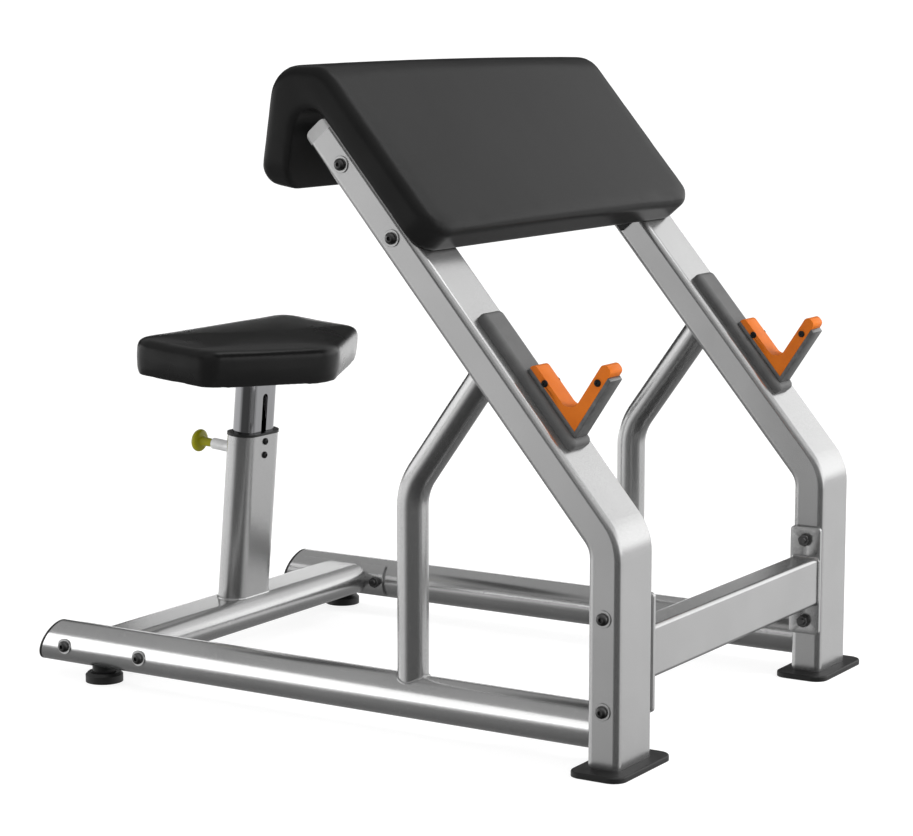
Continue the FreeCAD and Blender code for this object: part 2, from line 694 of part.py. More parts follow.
def make_rails():
    rail = new_body("rail")
    sketch = new_sketch(rail, "YZ_Plane")
    add_circle(sketch, "rail_diameter")
    add_circle(sketch, "(rail_diameter - 2*rail_wall)")
    pad(rail, sketch, "rail_length")
    holes = new_sketch(rail, "XZ_Plane")
    for sign in "+-":
        add_circle(holes, "bolt_hole", f"rail_length - cross_back {sign} saddle_bolt_pitch/2", "0")
    pocket_through(rail, holes, "2*rail_diameter")
    place(rail, "upright_back - rail_length", "-track_half", "rail_height")
    trim = rail_end("rail_trim", "-rail_diameter", "rail_diameter + rail_cap")
    both_sides("base_rail", cut("base_rail", rail, trim))

    core = along_rails("rail_core", "rail_radius", "upright_back - rail_length", "rail_length")
    both_sides("rail_cap", common("rail_cap", core, rail_end("rail_cap_slab", "0", "rail_cap")))


def brace_section(sketch, shrink):
    add_circle(sketch, f"(brace_diameter - 2*{shrink})")


def make_braces():
    rise = "(brace_bend_height - rail_height - brace_tangent)"
    run = "brace_run + tube_depth/2 - brace_tangent"
    brace = bent_tube("brace", brace_section, "brace_wall", (rise, "brace_radius", "brace_angle", run, "+"))
    place(brace, "upright_back - brace_back", "-track_half", "rail_height")
    rail_room = along_rails("brace_rail_room", "rail_radius + weld_gap",
                            "upright_back - rail_length", "rail_length")
    slope_room = on_slope(block("brace_slope_room", "tube_depth", "2*tube_width", "slope_length"),
                          "-track_half - tube_width")
    both_sides("brace", cut("brace", brace, rail_room, slope_room))


# Crossbeam and the frame's bolts


def frame_bolt(name, length):
    head = "(bolt_head_rise + washer_thick)"
    return turned(name, [
        ("0", f"-{head}"),
        ("bolt_head/2 - bolt_head_round", f"-{head}"),
        ("bolt_head/2", f"bolt_head_round - {head}"),
        ("bolt_head/2", "-washer_thick"),
        ("washer_diameter/2", "-washer_thick"),
        ("washer_diameter/2", "0"),
        ("bolt_diameter/2", "0"),
        ("bolt_diameter/2", length),
        ("0", length),
    ])


def make_nut():
    prism = doc.addObject("Part::Prism", "nut_prism")
    bind(prism, "Circumradius", "nut_width/2")
    bind(prism, "Height", "nut_rise")
    return cut("nut", prism, rod("nut_bore", "bolt_hole/2", "nut_rise"))


def bolt_sets():
    """Bolts from the outside, nuts on the inside: name, spots, outer face, inner face."""
    beam = [("upright_mid", level) for level in BEAM_BOLTS]
    slope = [("upright_back + " + x, z) for x, z in (pad_bolt_spot(along) for along in PAD_BOLTS)]
    saddle = [(f"cross_mid {sign} saddle_bolt_pitch/2", "rail_height") for sign in "+-"]
    return (
        ("beam", beam, "track_half + tube_width/2", "angle_plane - beam_plate"),
        ("pad", slope, "track_half + tube_width/2", "angle_plane - angle_thick"),
        ("saddle", saddle, "track_half + rail_radius", "track_half - saddle_radius"),
    )


def make_bolts():
    nut = make_nut()
    for name, spots, outer, inner in bolt_sets():
        length = f"{outer} - ({inner}) + nut_rise + bolt_end"
        copies(name + "_bolts", frame_bolt(name + "_bolt", length), across(spots, outer))
        copies(name + "_nuts", nut, across(spots, inner))


def make_crossbeam():
    beam = new_body("front_crossbeam")
    sketch = new_sketch(beam, "XZ_Plane")
    add_rounded(sketch, "beam_depth", "beam_rise", "beam_corner")
    add_rounded(sketch, "(beam_depth - 2*beam_wall)", "(beam_rise - 2*beam_wall)",
                "(beam_corner - beam_wall)")
    pad(beam, sketch, "2*(angle_plane - beam_plate)", symmetric=True)
    nodes["front_crossbeam"] = place(beam, "upright_mid", "0", "beam_height")

    plate = new_body("beam_end")
    sketch = new_sketch(plate, "XZ_Plane")
    add_rounded(sketch, "tube_depth", "beam_plate_rise", "beam_plate_corner")
    for level in BEAM_BOLTS:
        add_circle(sketch, "bolt_hole", "0", f"{level} - beam_height")
    pad(plate, sketch, "beam_plate", symmetric=True)
    place(plate, "upright_mid", "beam_plate/2 - angle_plane", "beam_height")
    both_sides("beam_plate", plate)


# Rear cross tube, its saddles and the rear feet


CROSS_REACH = "(cross_width - cross_rise)/2"


def make_rear_cross():
    tube = new_body("cross_tube")
    sketch = new_sketch(tube, "XZ_Plane")
    for shrink in ("0", "cross_wall"):
        add_slot(sketch, f"(cross_rise - 2*{shrink})", (CROSS_REACH, "0"), (f"-{CROSS_REACH}", "0"), -90)
    pad(tube, sketch, "2*track_half", symmetric=True)
    place(tube, "cross_mid", "0", "rail_height")
    start = "cross_mid - cross_width/2 - overrun"
    rooms = [along_rails(f"cross_room{i}", "saddle_radius", start, "cross_width + 2*overrun", side)
             for i, side in enumerate(("-track_half", "track_half"))]
    nodes["rear_cross_tube"] = cut("rear_cross_tube", tube, *rooms)

    start = "cross_mid - saddle_length/2"
    shell = cut("saddle_shell", along_rails("saddle_outer", "saddle_radius", start, "saddle_length"),
                along_rails("saddle_inner", "rail_radius + weld_gap", start, "saddle_length"))
    span = place(block("saddle_span", "saddle_length", "saddle_radius", "2*saddle_half_rise"),
                 start, "-track_half", "rail_height - saddle_half_rise")
    holes = new_body("saddle_holes")
    sketch = new_sketch(holes, "XZ_Plane")
    for sign in "+-":
        add_circle(sketch, "bolt_hole", f"{sign}saddle_bolt_pitch/2", "0")
    pad(holes, sketch, "2*rail_diameter", symmetric=True)
    place(holes, "cross_mid", "-track_half", "rail_height")
    both_sides("saddle", cut("saddle", common("saddle", shell, span), holes))


def make_rear_feet():
    spot = ("upright_back - rear_foot_back", "-track_half")
    hole = "(foot_screw/2 + bolt_hole_room)"
    recess = "(foot_screw_head/2 + bolt_hole_room)"
    seat = "(foot_screw_recess + foot_screw_head_rise)"
    foot = turned("rear_foot", [
        (recess, "0"),
        ("rear_foot_diameter/2", "0"),
        ("rear_foot_diameter/2", "rear_foot_height - rear_foot_edge"),
        ("rear_foot_diameter/2 - rear_foot_edge", "rear_foot_height"),
        (hole, "rear_foot_height"),
        (hole, seat),
        (recess, seat),
    ])
    both_sides("rear_foot", place(foot, *spot))

    boss = turned("foot_boss", [
        (hole, "rear_foot_height"),
        ("boss_diameter/2", "rear_foot_height"),
        ("boss_diameter/2", "rail_height"),
        (hole, "rail_height"),
    ])
    rail_room = along_rails("boss_rail_room", "rail_radius + weld_gap",
                            "upright_back - rail_length", "rail_length")
    both_sides("foot_boss", cut("foot_boss", place(boss, *spot), rail_room))

    screw = turned("foot_screw_turn", [
        ("0", "foot_screw_recess"),
        ("foot_screw_head/2", "foot_screw_recess"),
        ("foot_screw_head/2", seat),
        ("foot_screw/2", seat),
        ("foot_screw/2", "rail_height - rail_radius"),
        ("0", "rail_height - rail_radius"),
    ])
    spots = [Placement(Vector(number(spot[0]), side*number("track_half"), 0), Rotation()) for side in (-1, 1)]
    copies("rear_foot_screws", screw, spots)


# Seat sleeve, bushing, post and pull pin


def bores(name, role, circles, length, back=False):
    """Cutting rods: diameter, x, y of each circle on the plane, and their length."""
    body = new_body(name)
    sketch = new_sketch(body, role)
    for diameter, x, y in circles:
        add_circle(sketch, diameter, x, y)
    pad(body, sketch, length, back=back)
    return body


def ring(body, outer, inner, length, back=False):
    """Rounded tube of a body: depth, width and corner outside and inside."""
    sketch = new_sketch(body, "XY_Plane")
    add_rounded(sketch, *outer)
    add_rounded(sketch, *inner)
    pad(body, sketch, length, back=back)


def grown(piece, by):
    """Depth, width and corner of the sleeve or post, grown all round."""
    return f"({piece}_depth + 2*({by}))", f"({piece}_width + 2*({by}))", f"({piece}_corner + ({by}))"


GUIDE_LEVELS = ("-guide_screw_first", "-guide_screw_first - guide_screw_pitch")


def make_sleeve():
    pin_bore = on_post(bores("pin_bore", "YZ_Plane", [("pin_diameter + 2*pin_room", "0", "0")],
                             "2*sleeve_depth", back=True), "pin_level")
    guides = [("guide_screw + 2*slide_room", "0", level) for level in GUIDE_LEVELS]
    guide_bores = on_post(bores("guide_bores", "YZ_Plane", guides, "2*sleeve_depth"), "sleeve_length")

    sleeve = new_body("sleeve")
    ring(sleeve, grown("sleeve", "0"), grown("sleeve", "-sleeve_wall"), "sleeve_length + overrun")
    on_post(sleeve, "-overrun")
    foot_room = new_body("sleeve_foot_room")
    sketch = new_sketch(foot_room, "XZ_Plane")
    add_slot(sketch, "(cross_rise + 2*weld_gap)", (CROSS_REACH, "0"), (f"-{CROSS_REACH}", "0"), -90)
    pad(foot_room, sketch, "2*sleeve_width", symmetric=True)
    place(foot_room, "cross_mid", "0", "rail_height")
    nodes["seat_sleeve"] = cut("seat_sleeve", sleeve, foot_room, pin_bore, guide_bores)

    collar = new_body("collar")
    ring(collar, grown("sleeve", "collar_lip"), grown("post", "slide_room"), "collar_thick")
    ring(collar, grown("sleeve", "-sleeve_wall - liner_gap"), grown("post", "slide_room"),
         "liner_length", back=True)
    on_post(collar, "sleeve_length")
    nodes["sleeve_collar"] = cut("sleeve_collar", collar, pin_bore, guide_bores)

    screw = turned("guide_screw_turn", [
        ("0", "-guide_screw_head_rise"),
        ("guide_screw_head/2", "-guide_screw_head_rise"),
        ("guide_screw_head/2", "0"),
        ("guide_screw/2", "0"),
        ("guide_screw/2", "(sleeve_depth - post_depth)/2 + post_wall"),
        ("0", "(sleeve_depth - post_depth)/2 + post_wall"),
    ])
    frame = post_frame("sleeve_length")
    inward = Rotation(Vector(0, 1, 0), -90)
    spots = [frame.multiply(Placement(Vector(number("sleeve_depth/2"), 0, number(level)), inward))
             for level in GUIDE_LEVELS]
    copies("guide_screws", screw, spots)


def post_frame(along):
    """Placement of the post's frame at a distance along its axis."""
    spot = Vector(number(f"post_x + ({along})*sin(seat_lean)"), 0,
                  number(f"cross_top + ({along})*cos(seat_lean)"))
    return Placement(spot, Rotation(Vector(0, 1, 0), number("seat_lean")))


def make_post():
    holes = [("hole_diameter", "0", f"{step}*hole_pitch") for step in range(-HOLES_BELOW, HOLES_ABOVE + 1)]
    pin_holes = on_post(bores("pin_holes", "YZ_Plane", holes, "post_depth", back=True), "pin_level")
    slot = new_body("guide_slot")
    sketch = new_sketch(slot, "YZ_Plane")
    top = "-guide_slot_top - guide_slot_width/2"
    low = "guide_slot_width/2 - guide_slot_top - guide_slot_length"
    add_slot(sketch, "guide_slot_width", ("0", top), ("0", low), 0)
    pad(slot, sketch, "post_depth")
    on_post(slot, "seat_base")
    post = new_body("post")
    ring(post, grown("post", "0"), grown("post", "-post_wall"), "post_insertion + post_showing")
    on_post(post, "post_bottom")
    nodes["seat_post"] = cut("seat_post", post, pin_holes, slot)

    glide = new_body("post_glide")
    ring(glide, grown("sleeve", "-sleeve_wall - glide_gap"), grown("post", "weld_gap"), "glide_rise")
    nodes["post_glide"] = on_post(glide, "post_bottom")


def make_pull_pin():
    bore = "(pin_diameter/2 + pin_room)"
    barrel = turned("plunger_barrel", [
        (bore, "0"),
        ("barrel_nut/2", "0"),
        ("barrel_nut/2", "barrel_nut_rise"),
        ("barrel_diameter/2", "barrel_nut_rise"),
        ("barrel_diameter/2", "barrel_length"),
        (bore, "barrel_length"),
    ])
    nodes["plunger_barrel"] = on_pin(barrel, "pin_out")
    length = "knob_start + knob_neck_rise - (pin_tip)"
    shaft = turned("pin_shaft", [
        ("0", "0"),
        ("pin_diameter/2", "0"),
        ("pin_diameter/2", length),
        ("0", length),
    ])
    nodes["pin_shaft"] = on_pin(shaft, "pin_tip")
    head = [(f"{r}*knob_diameter/2", f"knob_neck_rise + {z}*knob_rise") for r, z in KNOB_SHARES]
    knob = turned("pull_knob", [
        (bore, "0"),
        ("knob_neck/2", "0"),
        ("knob_neck/2", "knob_neck_rise"),
        *head,
        ("0", "knob_neck_rise + knob_rise"),
        ("0", "knob_neck_rise"),
        (bore, "knob_neck_rise"),
    ])
    nodes["pull_knob"] = on_pin(knob, "knob_start")


# Seat


def seat_outline(inset):
    """Corners of the seat in plan, set in from its edge, and their radii."""
    rear, side, front, half = [number("seat_" + word) for word in ("rear", "side", "front", "half_width")]
    corners = [Vector(-rear, -half), Vector(side - rear, -half), Vector(front, 0),
               Vector(side - rear, half), Vector(-rear, half)]
    moved = []
    for i, corner in enumerate(corners):
        back = (corners[i - 1] - corner).normalize()
        ahead = (corners[(i + 1) % len(corners)] - corner).normalize()
        moved.append(corner + (back + ahead).normalize()*(inset/math.sin(back.getAngle(ahead)/2)))
    curve = number("seat_corner") - inset
    return moved, (curve, curve, number("seat_nose") - inset, curve, curve)


def seat_row(inset, level, scale=1):
    """Outline of the seat at a level, set in and then scaled about its middle."""
    corners, radii = seat_outline(inset)
    middle = Vector(number("(seat_front - seat_rear)/2"), 0)
    corners = [middle + (corner - middle)*scale + Vector(0, 0, level) for corner in corners]
    return rounded_wire(corners, [radius*scale for radius in radii])


def make_seat():
    spots = [(f"{a}(seat_plate_depth/2 - seat_screw_inset)", f"{b}(seat_plate_width/2 - seat_screw_inset)")
             for a in "+-" for b in "+-"]
    plate = new_body("seat_plate_body")
    sketch = new_sketch(plate, "XY_Plane")
    add_rounded(sketch, "seat_plate_depth", "seat_plate_width", "seat_plate_corner")
    for x, y in spots:
        add_circle(sketch, "seat_screw + 2*slide_room", x, y)
    pad(plate, sketch, "seat_plate")
    nodes["seat_plate"] = on_post(plate, "seat_base")

    screw_bores = on_post(bores("seat_screw_bores", "XY_Plane",
                                [("seat_screw + 2*weld_gap", x, y) for x, y in spots],
                                "seat_plate + seat_screw_reach"), "seat_base")
    board = doc.addObject("Part::Feature", "seat_board_blank")
    face = Part.Face(rounded_wire(*seat_outline(number("seat_board_inset"))))
    board.Shape = face.extrude(Vector(0, 0, number("seat_board")))
    board.Placement = post_frame("board_base")
    nodes["seat_board"] = cut("seat_board", board, screw_bores)

    thick, edge, tuck, crown = [number("seat_" + word) for word in ("thick", "edge", "tuck", "crown")]
    rows = [(tuck, 0), (0, 2*tuck)]
    rows += [(retreat(share*edge, edge), thick - share*edge) for share in reversed(EDGE_SHARES)]
    rows += [(edge, thick + rise*crown, share) for share, rise in SEAT_CROWN_SHARES]
    cushion = doc.addObject("Part::Feature", "seat_cushion_blank")
    cushion.Shape = Part.makeLoft([seat_row(*row) for row in rows], True, True)
    cushion.Placement = post_frame("board_base")
    nodes["seat_cushion"] = cut("seat_cushion", cushion, board)

    screw = turned("seat_screw_turn", [
        ("0", "-seat_screw_head_rise"),
        ("seat_screw_head/2", "-seat_screw_head_rise"),
        ("seat_screw_head/2", "0"),
        ("seat_screw/2", "0"),
        ("seat_screw/2", "seat_plate + seat_screw_reach"),
        ("0", "seat_plate + seat_screw_reach"),
    ])
    frame = post_frame("seat_base")
    copies("seat_screws", screw, [frame.multiply(Placement(Vector(number(x), number(y), 0), Rotation()))
                                  for x, y in spots])


# Arm pad with its boards, angle brackets and screws


def pad_row(side):
    """Section of the arm pad at a distance from its middle, as a wire."""
    slant, lean = math.radians(number("slant_angle")), math.radians(number("flap_lean"))
    up = Vector(-math.sin(slant), 0, math.cos(slant))
    face = Vector(math.cos(slant), 0, math.sin(slant))
    down = Vector(-math.sin(lean), 0, -math.cos(lean))
    rear = Vector(-math.cos(lean), 0, math.sin(lean))
    half, radius, edge, tuck = [number(word) for word in ("pad_mid", "crest_radius", "pad_edge", "pad_tuck")]
    width = number("pad_half_width")
    depth = width - abs(side)
    outer = half + number("pad_crown")*(1 - (side/width)**2) - retreat(depth, edge)
    inner = half - retreat(depth, tuck)
    drawn = retreat(depth, number("pad_corner"))
    slope, flap = number("pad_slope") - drawn, number("flap_length") - drawn
    thin = (outer + inner)/(2*half)
    middle = Vector(number("crest_x"), side, number("crest_z"))
    turn = face.getAngle(rear)/2
    hollow = (face + rear).normalize()*((radius - inner)/math.cos(turn))
    far = radius + outer
    grow = far/(radius + half)
    corners = [
        middle + face*far - up*slope,
        middle + face*far + up*(far*(1 - face.z)/up.z),
        middle + rear*far + down*(far*(1 - rear.z)/down.z),
        middle + rear*far + down*flap,
        middle + rear*(radius - inner) + down*flap,
        middle + hollow,
        middle + face*(radius - inner) - up*slope,
    ]
    radii = (edge*thin, grow*number("crest_front"), grow*number("crest_rear"), edge*thin, tuck*thin,
             number("crest_hollow"), tuck*thin)
    return rounded_wire(corners, radii)


def make_arm_pad():
    span = "2*(pad_half_width - board_inset)"
    side = "board_inset - pad_half_width"
    slope_board = block("slope_board_blank", "board_thick", span, "pad_slope - board_inset")
    on_slope(slope_board, side, "pad_start + board_inset", "tube_depth")
    flap_board = block("flap_board", "board_thick", span, "flap_length - board_inset")
    on_flap(flap_board, side, "board_inset - flap_length", "crest_radius - pad_mid + board_thick")
    nodes["flap_board"] = flap_board

    width = number("pad_half_width")
    depths = [share*number("pad_edge") for share in EDGE_SHARES]
    depths += [share*number("pad_corner") for share in CORNER_SHARES]
    sides = [width - depth for depth in depths] + [share*width for share in PAD_CROWN_SHARES]
    sides += [-side for side in reversed(sides[:-1])]
    blank = doc.addObject("Part::Feature", "arm_pad_blank")
    blank.Shape = Part.makeLoft([pad_row(side) for side in sides], True, True)
    nodes["arm_pad_cushion"] = cut("arm_pad_cushion", blank, slope_board, flap_board)

    angle = new_body("pad_angle")
    sketch = new_sketch(angle, "XY_Plane")
    add_polygon(sketch, [
        ("tube_depth", "0"),
        ("tube_depth", "angle_foot"),
        ("tube_depth - angle_thick", "angle_foot"),
        ("tube_depth - angle_thick", "angle_thick"),
        ("tube_depth - angle_drop", "angle_thick"),
        ("tube_depth - angle_drop", "0"),
    ])
    pad(angle, sketch, "angle_length")
    holes = new_sketch(angle, "XZ_Plane")
    for sign in "+-":
        add_circle(holes, "bolt_hole", "tube_depth/2", f"angle_length/2 {sign} pad_bolt_pitch/2")
    pocket_through(angle, holes, "2*angle_foot")
    start = "pad_bolt_first + pad_bolt_pitch/2 - angle_length/2"
    on_slope(angle, "-angle_plane", start)
    across_board = "(angle_thick + angle_foot)/2"
    rows = [f"angle_length/2 {sign} pad_screw_pitch/2" for sign in "+-"]
    screw_bores = bores("pad_screw_bores", "YZ_Plane",
                        [("pad_screw + 2*weld_gap", across_board, row) for row in rows],
                        "angle_thick + board_thick/2")
    on_slope(screw_bores, "-angle_plane", start, "tube_depth - angle_thick")
    mirror = doc.addObject("Part::Mirroring", "pad_screw_bores_left")
    mirror.Source = screw_bores
    mirror.Normal = Vector(0, 1, 0)
    both_sides("pad_angle", cut("pad_angle", angle, screw_bores))
    nodes["slope_board"] = cut("slope_board", slope_board, screw_bores, mirror)

    screw = turned("pad_screw_turn", [
        ("0", "-pad_screw_head_rise"),
        ("pad_screw_head/2", "-pad_screw_head_rise"),
        ("pad_screw_head/2", "0"),
        ("pad_screw/2", "0"),
        ("pad_screw/2", "angle_thick + board_thick/2"),
        ("0", "angle_thick + board_thick/2"),
    ])
    outward = Rotation(Vector(0, 1, 0), 90 - number("slant_angle"))
    out = "(tube_depth - angle_thick)"
    spots = []
    for side in (-1, 1):
        for row in rows:
            along = f"({start} + {row})"
            x = number(f"upright_back - {along}*sin(slant_angle) + {out}*cos(slant_angle)")
            z = number(f"bend_height + {along}*cos(slant_angle) + {out}*sin(slant_angle)")
            spots.append(Placement(Vector(x, side*number(f"angle_plane - {across_board}"), z), outward))
    copies("pad_screws", screw, spots)


# Bar guards and bar hooks


def make_hooks():
    guard = new_body("bar_guard")
    sketch = new_sketch(guard, "YZ_Plane")
    add_rounded(sketch, "guard_width", "guard_length", "guard_corner")
    plate = pad(guard, sketch, "guard_thick")
    fillet(guard, plate, "guard_edge", lambda box: box.XMin > number("guard_thick/2"))
    on_slope(guard, "hook_side", "guard_start + guard_length/2", "tube_depth")
    both_sides("bar_guard", guard)

    bracket = new_body("hook_bracket")
    sketch = new_sketch(bracket, "XZ_Plane")
    steel_reach = "(hook_reach - hook_tip)"
    add_polygon(sketch, [
        ("0", "0"),
        (steel_reach, f"{steel_reach}*leg_rise"),
        (steel_reach, f"{steel_reach}*leg_rise + leg_steel"),
        ("hook_steel", "hook_steel*leg_rise + leg_steel"),
        ("hook_steel", "hook_back"),
        ("0", "hook_back"),
    ])
    pad(bracket, sketch, "hook_width", symmetric=True)
    on_slope(bracket, "hook_side", "hook_start", "guard_top")
    both_sides("hook_bracket", bracket)

    seat = "(hook_steel + liner_back)"
    liner = new_body("hook_liner")
    sketch = new_sketch(liner, "XZ_Plane")
    add_polygon(sketch, [
        ("hook_steel", "hook_steel*leg_rise + leg_steel"),
        ("hook_reach", "hook_reach*leg_rise + leg_steel"),
        ("hook_reach", "hook_reach*leg_rise + leg_total"),
        (seat, f"{seat}*leg_rise + leg_total"),
        (seat, "hook_back"),
        ("hook_steel", "hook_back"),
    ])
    block_pad = pad(liner, sketch, "hook_width", symmetric=True)
    tip, top, back = [number(f"{text} - pick_room") for text in ("hook_reach", "hook_back", seat)]
    tips = fillet(liner, block_pad, "liner_tip_round",
                  lambda box: box.XMin > tip and box.YLength > number("hook_width/2")
                  or box.ZMin > top and box.XMin > back)
    bottom = number(f"{seat}*leg_rise + leg_total - pick_room")
    fillet(liner, tips, "liner_hollow",
           lambda box: box.XMin > back and box.XMax < number(f"{seat} + pick_room")
           and box.ZMin > bottom and box.ZMax < number(f"{seat}*leg_rise + leg_total + pick_room"))
    screw_spots = [
        ("hook_steel + liner_back/2", "hook_back - hook_screw_back_drop"),
        ("hook_reach - hook_screw_front_drop",
         "(hook_reach - hook_screw_front_drop)*leg_rise + (leg_steel + leg_total)/2"),
    ]
    holes = new_sketch(liner, "XZ_Plane")
    for x, z in screw_spots:
        add_circle(holes, "hook_screw + 2*weld_gap", x, z)
    pocket_through(liner, holes, "2*hook_width")
    on_slope(liner, "hook_side", "hook_start", "guard_top")
    both_sides("hook_liner", liner)

    screw = turned("hook_screw_turn", [
        ("0", "-hook_screw_head_rise"),
        ("hook_screw_head/2", "-hook_screw_head_rise"),
        ("hook_screw_head/2", "0"),
        ("hook_screw/2", "0"),
        ("hook_screw/2", "hook_width"),
        ("hook_screw_head/2", "hook_width"),
        ("hook_screw_head/2", "hook_width + hook_screw_head_rise"),
        ("0", "hook_width + hook_screw_head_rise"),
    ])
    spots = []
    for out, up in screw_spots:
        out, up = f"(guard_top + {out})", f"(hook_start + {up})"
        spots.append((f"upright_back - {up}*sin(slant_angle) + {out}*cos(slant_angle)",
                      f"bend_height + {up}*cos(slant_angle) + {out}*sin(slant_angle)"))
    copies("hook_screws", screw, across(spots, "hook_width/2 - (hook_side)"))


make_uprights()
make_front_feet()
make_rails()
make_braces()
make_crossbeam()
make_bolts()
make_rear_cross()
make_rear_feet()
make_sleeve()
make_post()
make_pull_pin()
make_seat()
make_arm_pad()
make_hooks()
doc.recompute()

for item in doc.Objects:
    if "Invalid" in item.State or "Error" in item.State:
        raise RuntimeError(f"{item.Name} failed: {item.State}")
os.makedirs("parts", exist_ok=True)
for name, item in nodes.items():
    item.Label = name
    if item.Shape.isNull() or not item.Shape.isValid():
        raise RuntimeError(f"{name} has no valid shape")
    item.Shape.exportStep(f"parts/{name}.step")
box = Part.makeCompound([item.Shape for item in nodes.values()]).BoundBox
print(len(nodes), "nodes", box)
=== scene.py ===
import bmesh
import bpy
import json
import math
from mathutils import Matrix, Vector
from mathutils.bvhtree import BVHTree


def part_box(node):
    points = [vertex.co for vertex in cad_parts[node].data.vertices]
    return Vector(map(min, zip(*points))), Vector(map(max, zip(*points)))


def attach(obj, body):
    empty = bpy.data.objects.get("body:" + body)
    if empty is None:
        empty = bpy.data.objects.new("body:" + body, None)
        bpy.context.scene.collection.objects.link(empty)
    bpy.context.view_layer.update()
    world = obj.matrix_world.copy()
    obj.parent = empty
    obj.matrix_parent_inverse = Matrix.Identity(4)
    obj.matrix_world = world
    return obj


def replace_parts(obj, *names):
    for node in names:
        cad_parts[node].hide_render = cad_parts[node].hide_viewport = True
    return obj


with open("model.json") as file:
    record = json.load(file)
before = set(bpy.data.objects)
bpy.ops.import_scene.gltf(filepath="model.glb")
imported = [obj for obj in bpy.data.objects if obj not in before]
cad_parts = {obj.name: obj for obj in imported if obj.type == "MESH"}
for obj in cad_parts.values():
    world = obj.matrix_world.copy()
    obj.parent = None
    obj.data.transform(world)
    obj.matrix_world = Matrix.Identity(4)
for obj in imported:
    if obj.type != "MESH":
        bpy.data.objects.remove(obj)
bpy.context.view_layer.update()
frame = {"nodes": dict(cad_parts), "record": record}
scene = bpy.context.scene
nodes = frame["nodes"]
slot_of = {part["node"]: part["material_slot"] for part in frame["record"]["subparts"]}
body_of = {node: body for body, held in frame["record"]["behaviour"]["bodies"].items() for node in held}

# Lengths in metres, angles in degrees
MM = 0.001
SLANT = 40.4
FLAP_LEAN = 9
SEAT_LEAN = 5
AHEAD = Vector((1, 0, 0))
ACROSS = Vector((0, 1, 0))
UP = Vector((0, 0, 1))


def tilted(angle):
    """Unit vector in the XZ plane, leaned forward from vertical."""
    return Vector((math.sin(math.radians(angle)), 0, math.cos(math.radians(angle))))


slope_up = tilted(-SLANT)
slope_out = Vector((slope_up.z, 0, -slope_up.x))
flap_up = tilted(FLAP_LEAN)
flap_out = Vector((-flap_up.z, 0, flap_up.x))
seat_up = tilted(SEAT_LEAN)
seat_front = Vector((seat_up.z, 0, -seat_up.x))


def span(node, direction):
    """Lowest and highest reach of a CAD node along a direction."""
    reaches = [vertex.co.dot(direction) for vertex in nodes[node].data.vertices]
    return min(reaches), max(reaches)


def centre(node):
    """Middle of a CAD node's box."""
    low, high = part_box(node)
    return (low + high)/2


# Camera, fitted to the photograph: 913 x 836 pixels

CAMERA_PLACE = (2.14823, -3.40288, 1.00985)
CAMERA_TURN = (81.32, 0, 32.01)
CAMERA_LENS = 105.7
SENSOR_WIDTH = 36


def make_camera():
    data = bpy.data.cameras.new("camera")
    data.lens = CAMERA_LENS
    data.sensor_width = SENSOR_WIDTH
    camera = bpy.data.objects.new("camera", data)
    camera.location = CAMERA_PLACE
    camera.rotation_euler = [math.radians(angle) for angle in CAMERA_TURN]
    scene.collection.objects.link(camera)
    scene.camera = camera


# Node trees


class Tree:
    """A node tree with short ways to add nodes and links."""

    def __init__(self, owner):
        owner.use_nodes = True
        self.tree = owner.node_tree
        self.tree.nodes.clear()

    def add(self, kind, sockets=None, **settings):
        node = self.tree.nodes.new(kind)
        for key, value in settings.items():
            setattr(node, key, value)
        for key, value in (sockets or {}).items():
            if isinstance(value, bpy.types.NodeSocket):
                self.tree.links.new(value, node.inputs[key])
            else:
                node.inputs[key].default_value = value
        return node

    def place(self):
        return self.add("ShaderNodeTexCoord").outputs["Object"]

    def stretched(self, scale):
        return self.add("ShaderNodeMapping", {"Vector": self.place(), "Scale": scale}).outputs["Vector"]

    def noise(self, scale, detail=2, roughness=0.5, vector=None):
        sockets = {"Vector": vector or self.place(), "Scale": scale, "Detail": detail,
                   "Roughness": roughness}
        return self.add("ShaderNodeTexNoise", sockets).outputs["Fac"]

    def cells(self, scale, feature="F1"):
        sockets = {"Vector": self.place(), "Scale": scale}
        return self.add("ShaderNodeTexVoronoi", sockets, feature=feature).outputs["Distance"]

    def range(self, value, low, high, start=0.0, end=1.0):
        sockets = {"Value": value, "From Min": start, "From Max": end, "To Min": low, "To Max": high}
        return self.add("ShaderNodeMapRange", sockets).outputs["Result"]

    def math(self, kind, first, second):
        return self.add("ShaderNodeMath", {0: first, 1: second}, operation=kind).outputs["Value"]

    def ramp(self, value, *stops):
        node = self.add("ShaderNodeValToRGB", {"Fac": value})
        elements = node.color_ramp.elements
        while len(elements) < len(stops):
            elements.new(1)
        for element, (position, colour) in zip(elements, stops):
            element.position = position
            element.color = (*colour, 1)
        return node.outputs["Color"]

    def bump(self, height, strength, distance, normal=None):
        sockets = {"Height": height, "Strength": strength, "Distance": distance}
        if normal:
            sockets["Normal"] = normal
        return self.add("ShaderNodeBump", sockets).outputs["Normal"]

    def finish(self, **sockets):
        named = {key.replace("_", " "): value for key, value in sockets.items()}
        shader = self.add("ShaderNodeBsdfPrincipled", named)
        self.add("ShaderNodeOutputMaterial", {"Surface": shader.outputs["BSDF"]})


def grey(value):
    return (value, value, value)


# Materials for the slots of the record, and one more for plated steel

PEEL_DEPTH = 0.3*MM
GRAIN_DEPTH = 0.15*MM
RUBBER_DEPTH = 0.3*MM
PEBBLE_DEPTH = 0.2*MM
PORE_DEPTH = 0.1*MM
WAVE_DEPTH = 2*MM
FIBRE_DEPTH = 0.4*MM


